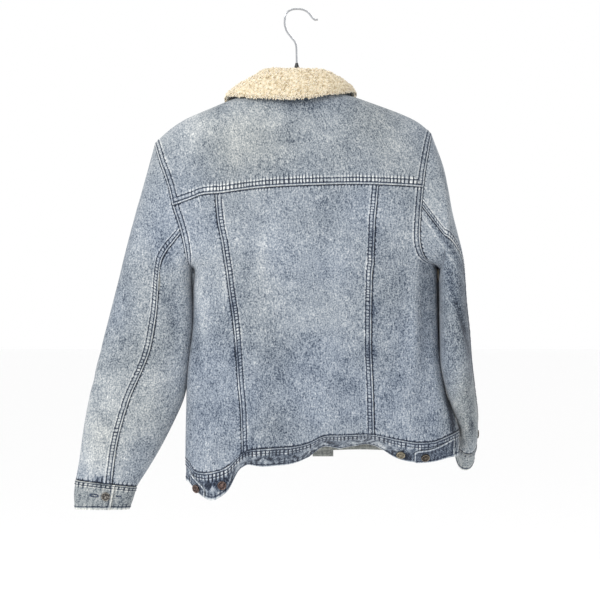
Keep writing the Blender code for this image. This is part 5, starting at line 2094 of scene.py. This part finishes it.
BAND_CREASE_X = (
    -176, -158, -137, -121, -102, -90, -71, -52, -20, 12, 44, 71, 96, 113, 131, 152, 170, 188, 205, 226,
)
BAND_CREASE_LINE = ((-190, -60, 60, 240), (-805, -742, -748, -735))
BAND_CREASES = tuple(
    Crease(x, float(np.interp(x, *BAND_CREASE_LINE)) + 5 * math.sin(x), 9, 3.2, 1.1, 52, 0.6)
    for x in BAND_CREASE_X
)
RIGHT_SLEEVE_CREASES = (
    Crease(250, -540, 90, 22, 3.4, 3),
    Crease(262, -665, 60, 22, 4.6, 3),
    Crease(246, -630, 60, 14, 3.0, 3),
    # A flat strip of painted shadow in the gap between the sleeve and the body
    Crease(252, -675, 62, 4, 0.0, -10, -0.9),
    Crease(270, -516, 46, 3.6, -1.9, -16, -0.40),
    Crease(277, -512, 44, 4.5, 1.2, -16, 0.22),
    Crease(243, -387, 62, 4.5, 0.6, -32, -0.45),
    Crease(250, -383, 62, 2.6, 0.4, -32, 0.60),
    Crease(235, -391, 60, 2.6, 0.4, -32, 0.45),
    Crease(262, -722, 16, 3.4, 1.5, -30, 0.50),
    Crease(272, -720, 16, 3.0, -1.5, -14, -0.50),
    Crease(252, -726, 12, 3.0, 1.2, -48, 0.40),
    Crease(252, -450, 48, 5.5, -2.2, -12, -0.34),
    Crease(262, -520, 60, 7, 1.8, -6, 0.22),
    Crease(284, -560, 70, 7, -1.8, -8, -0.30),
    Crease(274, -620, 50, 8, 1.8, 6, 0.20),
    Crease(292, -680, 44, 6, -1.8, -4, -0.30),
    Crease(282, -716, 22, 5, 1.8, 18, 0.40),
    Crease(294, -706, 20, 4, -1.6, -14, -0.40),
    Crease(236, -340, 40, 8, 1.4, -22, 0.12),
)

CUFF_SLOTS = {
    "left": (Slot(-346, -824.0, 15, 4.4, -8), Slot(-304.6, -825.7, 8, 0.4, -4)),
    "right": (),
}


@dataclass
class Body:
    """The back, yoke and fronts, and the hem band that they stand on."""

    band_hem: float = 7.0
    tab_wall: float = 2.0
    tab_gap: float = 1.2
    tab_foot: float = 0.97
    strip_width: float = 36.0
    strip_low_z: float = -762.0
    grids: dict[str, np.ndarray] = field(default_factory=dict)
    cloths: dict[str, Cloth] = field(default_factory=dict)

    def lay(self) -> None:
        """Lay the grids that the solids were made from."""
        lines = back_layout()
        low, top = centre_lines(lines)
        for side in ("left", "right"):
            line = lines[side]
            flat = coons(line["low"], line["top"], line["outer"], line["inner"])
            grid = back_point(flat[..., 0], flat[..., 1])
            self.grids[f"back_side_{side}"] = grid if side == "left" else grid[:, ::-1]
        flat = coons(low, top, lines["left"]["inner"], lines["right"]["inner"])
        self.grids["back_centre"] = back_point(flat[..., 0], flat[..., 1])
        edges = yoke_edges(lines, top)
        above = coons(edges["bottom"], edges["top"], edges["left"], edges["right"])
        bands = []
        for rise in (0.0, YOKE_FELL_WIDTH):
            share = rise / (YOKE_FELL_WIDTH + FELL_EDGE)
            x = edges["seam"][:, 0] + (edges["bottom"][:, 0] - edges["seam"][:, 0]) * share
            z = smooth(YOKE["x"], YOKE["z"], edges["seam"][:, 0]) + rise
            bands.append(shoulder_point(x, roll_of(x, z, -1)))
        grid = shoulder_point(above[..., 0], above[..., 1])
        self.grids["back_yoke"] = np.concatenate([np.stack(bands), grid])
        for side in ("left", "right"):
            grid = front_grid(side, lines, edges)
            self.grids[f"front_{side}"] = grid if side == "left" else grid[:, ::-1]
        columns = [lines["left"]["low"][:, 0], low[1:-1, 0], lines["right"]["low"][::-1, 0]]
        shares = (1.0, 0.75, 0.5, 0.25, 0.0)
        x = np.concatenate(columns)
        self.grids["waistband_back"] = np.stack([band_point(x, share) for share in shares])
        for side in ("left", "right"):
            lap = 1.0 if side == "left" else 0.0
            x = self.grids[f"front_{side}"][0, :, 0]
            grid = np.stack([band_point(x, s, front=True, lap=lap) for s in (1.0, 0.5, 0.0)])
            edge = 0 if side == "left" else -1
            grid[:, edge] = self.grids["waistband_back"][::2, edge]
            self.grids[f"waistband_{side}"] = grid
        self.grids["front_placket"] = self.lay_strip()

    def lay_strip(self) -> np.ndarray:
        """Lay the button strip on the left front's edge.

        Returns:
            The strip's grid.
        """
        band = self.grids["waistband_left"][:-1, -1, 2]
        edge = self.grids["front_left"][:, -1, 2]
        z = np.concatenate([[self.strip_low_z], band, edge])
        across = np.linspace(0, self.strip_width, 4)
        step = np.array([neck_front_z(float(x)) for x in placket_x(edge[-1]) + across]) - edge[-1]
        step[0] = 0
        share = np.clip((z - ARMPIT_Z) / (edge[-1] - ARMPIT_Z), 0, 1) ** 3
        rows = [front_point(placket_x(h) + across, h + step * p, lap=1.0) for h, p in zip(z, share)]
        return np.stack(rows)

    def on_band(self, x: float, share: float) -> tuple[np.ndarray, np.ndarray]:
        """Find a point and its unit normal on the back band.

        Args:
            x: the place across.
            share: how far down the band, from 0 to 1.

        Returns:
            The point and the normal.
        """
        grid = self.grids["waistband_back"]
        at = (1 - share) * (len(grid) - 1)
        row = min(int(at), len(grid) - 2)
        line = grid[row] + (grid[row + 1] - grid[row]) * (at - row)
        rising = grid[row + 1] - grid[row]
        read = [[np.interp(x + d, line[:, 0], line[:, k]) for k in range(3)] for d in (-2, 0, 2)]
        up = [np.interp(x, line[:, 0], rising[:, k]) for k in range(3)]
        before, point, after = np.array(read)
        return point, unit(np.cross(after - before, up))

    def sew_panels(self) -> None:
        """Sew the back, yoke and fronts."""
        felled, under, plain = Sewing.FELLED, Sewing.UNDER, Sewing.PLAIN
        low = Border(Edge.LOW, under, 11, 1.0, 21)
        princess = [
            Border(Edge.LEFT, felled, pucker=0.75, seed=3, period=5.4, indigo=0.3),
            Border(Edge.RIGHT, felled, pucker=0.8, seed=4, period=5.4, indigo=0.35),
        ]
        yoke = Border(Edge.TOP, under, 12, 1.0, 7, period=YOKE_TEETH)
        edges = (*princess, yoke, low)
        self.cloths["back_centre"] = Cloth(
            "back_centre", self.grids["back_centre"], 1, edges, BACK_CREASES, inside=PILE
        )
        for side, near, far, creases in (
            ("left", Edge.LEFT, Edge.RIGHT, SIDE_LEFT_CREASES),
            ("right", Edge.RIGHT, Edge.LEFT, SIDE_RIGHT_CREASES),
        ):
            name = f"back_side_{side}"
            arm = Border(near, felled, FELL_WIDTH, 0.35, 11, ARMPIT_Z - 12)
            edges = (arm, Border(far, under, 10, 0.6, 12), yoke, low)
            self.cloths[name] = Cloth(name, self.grids[name], 1, edges, creases, inside=PILE)
            name = f"front_{side}"
            arm = Border(near, felled, FELL_WIDTH, 0.7, 13, ARMPIT_Z)
            edges = (arm, Border(far, under, 8, 0.5, 14), Border(Edge.TOP, under, 8, 0.3, 15), low)
            self.cloths[name] = Cloth(name, self.grids[name], -1, edges, FRONT_CREASES, inside=PILE)
        edges = (
            Border(Edge.LOW, felled, YOKE_FELL_WIDTH, 1.35, 7, period=YOKE_TEETH, reach=1.0),
            Border(Edge.LEFT, felled, FELL_WIDTH, 0.3, 8),
            Border(Edge.RIGHT, felled, FELL_WIDTH, 0.3, 9),
            Border(Edge.TOP, plain),
        )
        self.cloths["back_yoke"] = Cloth(
            "back_yoke", self.grids["back_yoke"], 1, edges, YOKE_CREASES, inside=PILE
        )

    def sew_band(self) -> None:
        """Sew the hem band, the tabs and the button strip."""
        hem = Border(Edge.LOW, Sewing.HEM, self.band_hem, 1.2, 31, period=9.0, indigo=0.05)
        top = Border(
            Edge.TOP, Sewing.FELLED, 10.5, 1.5, 32, period=6.6, indigo=0.4, reach=1.6, crumple=0.75
        )
        for node, outward in (("waistband_back", 1), ("waistband_left", -1), ("waistband_right", -1)):
            creases = BAND_CREASES if outward > 0 else ()
            self.cloths[node] = Cloth(
                node, self.grids[node], outward, (hem, top), creases, BAND_DENIM, cell=FINE_CELL
            )
        strip_edges = (
            Border(Edge.LEFT, Sewing.HEM, 6, 0.6, 41),
            Border(Edge.RIGHT, Sewing.HEM, 6, 0.6, 42),
            Border(Edge.LOW, Sewing.HEM, 6, 0.8, 43),
        )
        self.cloths["front_placket"] = Cloth(
            "front_placket", self.grids["front_placket"], -1, strip_edges, (), BAND_DENIM
        )
        for side in ("left", "right"):
            edges = tuple(Border(e, Sewing.HEM, 4.5, 0.7, 51 + k) for k, e in enumerate(Edge))
            self.cloths[f"side_tab_{side}"] = Cloth(
                f"side_tab_{side}", self.lay_tab(side), 1, edges, (), BAND_DENIM, wall=self.tab_wall
            )

    def lay_tab(self, side: str) -> np.ndarray:
        """Lay one side tab on the back band.

        Args:
            side: left or right.

        Returns:
            The tab's grid.
        """
        rows = table(TAB_COLUMNS, TAB_ROWS[side])
        grid = []
        for share in np.linspace(1, 0, 5):
            down = rows["top"] + (self.tab_foot - rows["top"]) * share
            line = []
            for x, s in zip(rows["x"], down):
                point, normal = self.on_band(x, s)
                line.append(point + normal * (self.tab_gap + self.tab_wall))
            grid.append(line)
        grid = np.array(grid)
        return grid if side == "left" else grid[:, ::-1]

    def build(self) -> None:
        """Build every panel."""
        self.lay()
        self.sew_panels()
        self.sew_band()
        for name, cloth in self.cloths.items():
            LOG.info("%s: %d points", name, cloth.base.shape[0] * cloth.base.shape[1])
            cloth.build()
        for group, nodes in (
            ("back", ("back_", "waistband_back", "side_tab")),
            ("front", ("front_", "waistband_l", "waistband_r")),
        ):
            sewing = Stitches()
            sewing.along_seams([c for n, c in self.cloths.items() if n.startswith(nodes)])
            sewing.build(f"{group}_topstitching")


@dataclass
class Sleeve:
    """One two-piece sleeve and its buttoned cuff."""

    side: str
    rows: Table
    cuff_rows: Table
    seam_z: float
    cuff_turn: float
    creases: tuple[Crease, ...]
    holes: tuple[Slot, ...] = ()
    cloths: dict[str, Cloth] = field(default_factory=dict)

    def build(self, grids: dict[str, np.ndarray]) -> None:
        """Build the sleeve on its armhole.

        Args:
            grids: the body's grids.
        """
        top, under = sleeve_grids(self.rows, armhole_loop(self.side, grids), self.seam_z)
        outward = -1 if self.side == "left" else 1
        back, front = Edge.RIGHT, Edge.LEFT
        felled, passed = Sewing.FELLED, Sewing.UNDER
        arm = Border(Edge.LOW, passed, 9, 1.0, 61)
        wrist = Border(Edge.TOP, passed, 12, 1.7, 62)
        name = f"sleeve_{self.side}"
        over = (
            Border(back, felled, FELL_WIDTH, 0.8, 63, period=5.6, indigo=0.3),
            Border(front, felled, 9, 0.5, 64, period=5.6),
        )
        below = (Border(Edge.LEFT, passed, 9, 0.6, 63), Border(Edge.RIGHT, passed, 9, 0.4, 64))
        for part, grid, edges in (("top", top, over), ("under", under, below)):
            key = f"{name}_{part}"
            self.cloths[key] = Cloth(key, grid, outward, (*edges, arm, wrist), self.creases)
        cuff = cuff_grid(self.cuff_rows, self.cuff_turn)
        edges = (
            Border(Edge.LOW, Sewing.HEM, 6.5, 0.8, 65),
            Border(Edge.TOP, Sewing.FELLED, 8, 1.1, 66, reach=0.8),
            Border(Edge.LEFT, Sewing.HEM, 6, 0.4, 67),
        )
        self.cloths[f"cuff_{self.side}"] = Cloth(f"cuff_{self.side}", cuff, outward, edges, (), CUFF_DENIM)
        for key, cloth in self.cloths.items():
            LOG.info("%s: %d points", key, cloth.base.shape[0] * cloth.base.shape[1])
            cloth.build()
        sewing = Stitches()
        sewing.along_seams(list(self.cloths.values()))
        for hole in self.holes:
            sewing.whip(self.cloths[f"cuff_{self.side}"], hole)
        sewing.build(f"{name}_topstitching")


# How far the fold has settled below its solid, from left to right: flat over the nape, then
# falling straight to each shoulder
SETTLE_COLUMNS = "x drop"
SETTLE_ROWS = (
    (-125, 6.0), (-108, 11.0), (-91, 14.5), (-75, 10.0), (-57, 3.4), (-40, 5.0), (-20, 6.5),
    (25, 6.5), (45, 6.5), (53, 9.0), (62, 16.0), (75, 16.5), (89, 11.5), (103, 7.0),
)


@dataclass
class Collar:
    """The sherpa collar, its pile raised in curls, over its denim under collar.

    The sizes are in millimetres, but for the counts of tufts and hang, a share of their reach.
    """

    pile: float = 6.0
    under: float = 1.8
    cell: float = 1.5
    curl: float = 5.2
    small_curl: float = 2.7
    fibre: float = 2.3
    curl_weight: float = 0.6
    small_curl_weight: float = 0.35
    fibre_weight: float = 0.2
    depth: float = 2.2
    tufts: int = 4400
    hanging_tufts: int = 900
    tuft_reach: float = 1.5
    hang: float = 1.2
    tuft_rise: float = 1.3
    tuft_radius: float = 0.8
    tuft_rings: int = 6
    tuft_sides: int = 4
    seed: int = 11

    def lay(self) -> np.ndarray:
        """Lay the collar's line, its fold settled down at the back by the cloth's weight.

        Returns:
            Rows from the foot over the fold to the fall's edge.
        """
        grid = collar_grid()
        fold = grid[4]
        rows = table(SETTLE_COLUMNS, SETTLE_ROWS)
        drop = np.interp(fold[:, 0], rows["x"], rows["drop"]) * ease((35 - fold[:, 1]) / 40)
        share = np.array([0, 0.1, 0.45, 0.85, 1.0, 0.85, 0.45, 0.1, 0])
        grid[..., 2] -= share[:, None] * drop
        return grid

    def curls(self, skin: np.ndarray) -> np.ndarray:
        """Give the pile's height at each point, from its lumps and finer curls.

        Args:
            skin: the pile's mean surface.

        Returns:
            Heights round 0.
        """
        out = np.empty(skin.shape[:2])
        heights = out.reshape(-1)
        for k, point in enumerate(skin.reshape(-1, 3)):
            near = noise.voronoi(Vector(point / self.curl), distance_metric="DISTANCE")[0][0]
            place = Vector(point / self.small_curl + 9.0)
            fine = noise.voronoi(place, distance_metric="DISTANCE")[0][0]
            rough = noise.noise(Vector(point / self.fibre))
            lumps = self.curl_weight * (1 - 1.5 * near) + self.small_curl_weight * (1 - 1.5 * fine)
            heights[k] = lumps + self.fibre_weight * rough
        return out

    def build(self) -> None:
        """Build both sides of the collar."""
        grid = self.lay()
        base = finer(grid, self.cell, (0, 0), (0, 0))
        normal = surface_normals(base, -1)
        lumps = self.curls(base + normal * self.pile)
        edge = np.minimum(runs(base, 0), runs(base, 0)[-1:] - runs(base, 0))
        ends = np.minimum(runs(base, 1), runs(base, 1)[:, -1:] - runs(base, 1))
        rounding = np.sqrt(np.clip(np.minimum(edge, ends) / self.pile, 0.03, 1))
        high = self.pile * (0.35 + 0.6 * rounding) + self.depth * lumps * (0.5 + 0.5 * rounding)
        outer = base + normal * np.maximum(high, 1.0)[..., None]
        down = unit(base[-1] - base[-3])
        for row, share in ((-1, 1.0), (-2, 0.7), (-3, 0.3)):
            outer[row] += down * (share * 1.4 * (0.4 + lumps[row]))[:, None]
        inner = base + normal * (SEAM_GAP / 2)
        plan = np.stack([runs(base, 1), runs(base, 0)], -1) * MM
        # The pile's tone follows its lumps: painted shade in the hollows, paler on top
        obj = shell("collar_pile", outer, inner, -1, {"rub": lumps * 0.9 - 0.1}, plan)
        obj.data.materials.append(FINISHES.get(PILE))
        obj.data.materials.append(FINISHES.get(PILE))
        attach(obj, "root")
        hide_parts("collar")
        self.grow_tufts(outer, normal)
        cloth = Cloth("under_collar", under_face(grid), -1, (Border(Edge.TOP, Sewing.HEM, 6, 0.6, 71),))
        cloth.wall = -self.under
        cloth.build()
        LOG.info("collar: %d points, %d tufts", outer.shape[0] * outer.shape[1], self.tufts)

    def grow_tufts(self, outer: np.ndarray, normal: np.ndarray) -> None:
        """Curl small tufts of fibre over the pile, and hang some from the edge of its fall.

        Args:
            outer: the pile's surface.
            normal: its unit normals.
        """
        chance = np.random.default_rng(self.seed)
        rows = chance.uniform(0, outer.shape[0] - 1.001, self.tufts)
        cols = chance.uniform(0, outer.shape[1] - 1.001, self.tufts)
        hanging = np.arange(self.tufts) < self.hanging_tufts
        rows = np.where(hanging, outer.shape[0] - 1.001 - rows % 3, rows)
        r, c = rows.astype(int), cols.astype(int)
        seat = outer[r, c] + (outer[r + 1, c] - outer[r, c]) * (rows - r)[:, None]
        seat += (outer[r, c + 1] - outer[r, c]) * (cols - c)[:, None]
        up = normal[r, c]
        loose = chance.normal(size=(self.tufts, 3))
        fall = unit(outer[-2, c] - outer[-6, c])
        loose = np.where(hanging[:, None], 0.45 * loose + 1.6 * fall, loose)
        along = unit(loose - up * (loose * up).sum(-1, keepdims=True))
        seat += along * (hanging * self.tuft_reach * self.hang)[:, None]
        side = np.cross(up, along)
        size = chance.uniform(0.7, 1.25, self.tufts)
        bend = chance.uniform(-0.9, 0.9, self.tufts)
        steps = np.linspace(0, 1, self.tuft_rings)
        turns = np.linspace(0, 2 * math.pi, self.tuft_sides, endpoint=False)
        reach = (steps - 0.5) * 2 * self.tuft_reach
        rise = np.sin(math.pi * np.clip(steps * 1.1, 0, 1)) * self.tuft_rise - 0.25
        swing = np.sin(math.pi * steps)
        radius = self.tuft_radius * np.array([0.5, 0.9, 1.0, 1.0, 0.8, 0.35])
        spine = (
            seat[:, None]
            + along[:, None] * (reach * size[:, None])[..., None]
            + up[:, None] * (rise * size[:, None])[..., None]
            + side[:, None] * (swing * bend[:, None])[..., None]
        )
        ring_up = up[:, None, None] * (np.cos(turns)[None, None, :] * radius[None, :, None])[..., None]
        ring_side = side[:, None, None] * (np.sin(turns)[None, None, :] * radius[None, :, None])[..., None]
        points = spine[:, :, None] + ring_up + ring_side
        obj = joined_tubes("collar_tufts", points, PILE)
        pale = chance.uniform(0.3, 0.95, self.tufts)
        mesh_mark(obj, "rub", np.repeat(pale, self.tuft_rings * self.tuft_sides))


def mesh_mark(obj: bpy.types.Object, name: str, values: np.ndarray) -> None:
    """Store a reading at every vertex."""
    stored = obj.data.attributes.new(name, "FLOAT", "POINT")
    stored.data.foreach_set("value", values)


def under_face(grid: np.ndarray) -> np.ndarray:
    """Give the under collar's upper face, which lies against the pile's ground."""
    normal = surface_normals(grid, -1)
    return grid[4:, 1:-1] - normal[4:, 1:-1] * (SEAM_GAP / 2)


BUTTON_FINISHES = {
    "cuff_button_left": TARNISHED,
    "cuff_button_right": TARNISHED,
    "spare_button_right": BRASSY,
    "tab_button_right": BRONZED,
}


@dataclass
class Buttons:
    """Shank buttons of plated copper, with a plain ringed face, and where each one sits."""

    radius: float = 7.5
    shank_radius: float = 4.0
    shank: float = 1.2
    rim_rise: float = 2.2
    end_layer: float = 0.3
    rays: int = 24
    steps: int = 72
    face_rings: int = 22

    def face(self, radius: float, turn: float) -> float:
        """Give the face's height above its rim's foot at a radius and a turn.

        Args:
            radius: share of the button's radius.
            turn: angle in radians.

        Returns:
            The height in millimetres.
        """
        rim = 1.0 * math.exp(-(((radius - 0.88) / 0.09) ** 2))
        dome = 0.75 * math.exp(-((radius / 0.26) ** 2))
        ring = 0.35 * math.exp(-(((radius - 0.42) / 0.05) ** 2))
        ray = 0.12 * math.cos(self.rays * turn) * math.exp(-(((radius - 0.64) / 0.13) ** 2))
        return rim + dome + ring + ray

    def build(self) -> None:
        """Build each button on the axis of its node."""
        names = [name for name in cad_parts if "button" in name]
        for name in sorted(names):
            self.one(name)
        LOG.info("buttons: %d", len(names))

    def stand(self, name: str) -> tuple[np.ndarray, np.ndarray]:
        """Find where a button's node stands.

        Args:
            name: the node.

        Returns:
            The middle of its foot, and its unit axis from the narrow shank to the face.
        """
        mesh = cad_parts[name].data
        points = np.array([v.co for v in mesh.vertices]) / MM
        centre = points.mean(0)
        axis = np.linalg.svd(points - centre)[2][2]
        depth = (points - centre) @ axis
        ends = [points[np.abs(depth - at) < self.end_layer] for at in (depth.max(), depth.min())]
        near, far = [np.linalg.norm(end - end.mean(0), axis=1).max() for end in ends]
        if near < far:
            axis, depth = -axis, -depth
        return points[depth < depth.min() + self.end_layer].mean(0), axis

    def turned(self) -> np.ndarray:
        """Turn the button's outline: its shank, its rim and its ringed face.

        Returns:
            Rings by steps of points, the axis along the third number.
        """
        turns = np.linspace(0, 2 * math.pi, self.steps, endpoint=False)
        rows = [(self.shank_radius, 0.0), (self.shank_radius, self.shank)]
        rows += [(self.radius * 0.97, self.shank), (self.radius, self.shank + 0.6)]
        rows += [(self.radius, self.shank + 1.9)]
        rings = [[(r * math.cos(t), r * math.sin(t), h) for t in turns] for r, h in rows]
        base = self.shank + self.rim_rise
        for share in np.linspace(0.97, 0.03, self.face_rings):
            r = self.radius * share
            rings.append([(r * math.cos(t), r * math.sin(t), base + self.face(share, t)) for t in turns])
        return np.array(rings)

    def one(self, name: str) -> None:
        """Build one button in place of its node.

        Args:
            name: the node.
        """
        seat, axis = self.stand(name)
        side = unit(np.cross(axis, (0.0, 0.3, 1.0)))
        other = np.cross(axis, side)
        rings = self.turned()
        local = rings.reshape(-1, 3)
        relief = np.where(local[:, 2] > self.shank + 2.1, local[:, 2] - self.shank - 2.7, -0.6)
        placed = seat + local[:, :1] * side + local[:, 1:2] * other + local[:, 2:] * axis
        number = np.arange(len(local)).reshape(len(rings), self.steps)
        after = np.roll(number, -1, axis=1)
        quads = np.stack([number[:-1], after[:-1], after[1:], number[1:]], -1).reshape(-1, 4)
        faces = [*quads.tolist(), number[0, ::-1].tolist(), number[-1].tolist()]
        mesh = bpy.data.meshes.new(name + "_plated")
        mesh.from_pydata((placed * MM).tolist(), [], faces)
        mesh.shade_smooth()
        mesh.set_sharp_from_angle(angle=math.radians(50))
        finish = BUTTON_FINISHES.get(name, COPPER)
        obj = linked(name + "_plated", mesh, [FINISHES.get(finish)])
        mesh_mark(obj, "relief", relief)
        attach(obj, "root")
        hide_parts(name)


@dataclass
class Hanger:
    """The chromed hook, and the black neck and shoulder bar below it."""

    knots: int = 32
    points: int = 150

    def build(self) -> None:
        """Lay the hook's wire again, finely, and finish the plastic."""
        rows = table(HOOK_COLUMNS, HOOK_ROWS)
        run = np.concatenate([[0], np.cumsum(np.hypot(np.diff(rows["x"]), np.diff(rows["z"])))])
        at = np.linspace(0, run[-1], self.knots)
        path = np.stack([smooth(run, rows["x"], at), at * 0, smooth(run, rows["z"], at)], -1)
        path = refine(path, at, np.linspace(0, at[-1], self.points))
        data = bpy.data.curves.new("hook_wire", "CURVE")
        data.dimensions = "3D"
        data.bevel_depth = WIRE_RADIUS * MM
        data.bevel_resolution = 6
        data.use_fill_caps = True
        spline = data.splines.new("POLY")
        spline.points.add(len(path) - 1)
        for slot, point in zip(spline.points, path):
            slot.co = (*[float(v) * MM for v in point], 1)
        hook = linked("hook_wire", data, [FINISHES.get(CHROME)])
        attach(hook, "root")
        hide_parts("hanger_hook")
        for node in ("hanger_neck", "hanger_bar"):
            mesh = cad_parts[node].data
            mesh.materials.clear()
            mesh.materials.append(FINISHES.get(BLACK_PLASTIC))
        LOG.info("hanger: wire of %d points", len(path))


@dataclass
class Studio:
    """A pale floor in an even white room, soft lights, and the camera behind the jacket."""

    floor_z: float = -1.25
    floor_reach: float = 40.0
    room: float = 1.0
    distance: float = 5.0
    view_width: float = 1.02
    view_x: float = 0.00255
    view_z: float = -0.493
    sight: float = 200.0
    aim_z: float = -0.45
    # Name, place, size and watts
    lamps: tuple[tuple[Any, ...], ...] = (
        ("key", (-2.1, -2.4, 1.3), 1.2, 66),
        ("front", (0.3, 2.8, 0.8), 1.8, 40),
    )

    def build(self) -> None:
        """Set the stage, the lights and the camera."""
        bpy.context.scene.view_settings.view_transform = "Standard"
        self.lay_floor()
        world = bpy.data.worlds.new("white_room")
        world.use_nodes = True
        background = world.node_tree.nodes["Background"]
        background.inputs["Color"].default_value = (1, 1, 1, 1)
        background.inputs["Strength"].default_value = self.room
        bpy.context.scene.world = world
        for lamp in self.lamps:
            self.light(*lamp)
        camera = bpy.data.cameras.new("camera")
        camera.lens = camera.sensor_width * self.distance / self.view_width
        camera.clip_end = self.sight
        holder = linked("camera", camera)
        holder.location = (self.view_x, -self.distance, self.view_z)
        holder.rotation_euler = (math.radians(90), 0, 0)
        bpy.context.scene.camera = holder

    def lay_floor(self) -> None:
        """Lay the wide floor."""
        paint = bpy.data.materials.new("painted_floor")
        paint.use_nodes = True
        shader = paint.node_tree.nodes["Principled BSDF"]
        shader.inputs["Base Color"].default_value = linear("#FCFCFC")
        shader.inputs["Roughness"].default_value = 0.9
        mesh = bpy.data.meshes.new("floor")
        reach = self.floor_reach
        corners = [(-reach, -reach), (reach, -reach), (reach, reach), (-reach, reach)]
        mesh.from_pydata([(x, y, self.floor_z) for x, y in corners], [], [(0, 1, 2, 3)])
        floor = linked("floor", mesh, [paint])

    def light(self, name: str, place: tuple[float, float, float], size: float, power: float) -> None:
        """Hang one soft light that faces the jacket.

        Args:
            name: the light's name.
            place: where it hangs, in metres.
            size: the side of its square face.
            power: watts.
        """
        data = bpy.data.lights.new(name, "AREA")
        data.size = size
        data.energy = power
        lamp = linked(name, data)
        lamp.location = place
        aim = Vector((0, 0, self.aim_z)) - Vector(place)
        lamp.rotation_euler = aim.to_track_quat("-Z", "Y").to_euler()


def main() -> None:
    """Build the jacket, its hanger and the studio."""
    logging.basicConfig(level=logging.INFO, format="%(name)s: %(message)s")
    Studio().build()
    body = Body()
    body.build()
    for side, rows, cuff_rows, creases in (
        ("left", LEFT_SLEEVE_ROWS, LEFT_CUFF_ROWS, LEFT_SLEEVE_CREASES),
        ("right", RIGHT_SLEEVE_ROWS, RIGHT_CUFF_ROWS, RIGHT_SLEEVE_CREASES),
    ):
        turn, seam_z = CUFF_START_TURN[side], SLEEVE_SEAM_Z[side]
        Sleeve(side, rows, cuff_rows, seam_z, turn, creases, CUFF_SLOTS[side]).build(body.grids)
    Collar().build()
    Buttons().build()
    Hanger().build()


if __name__ == "__main__":
    main()
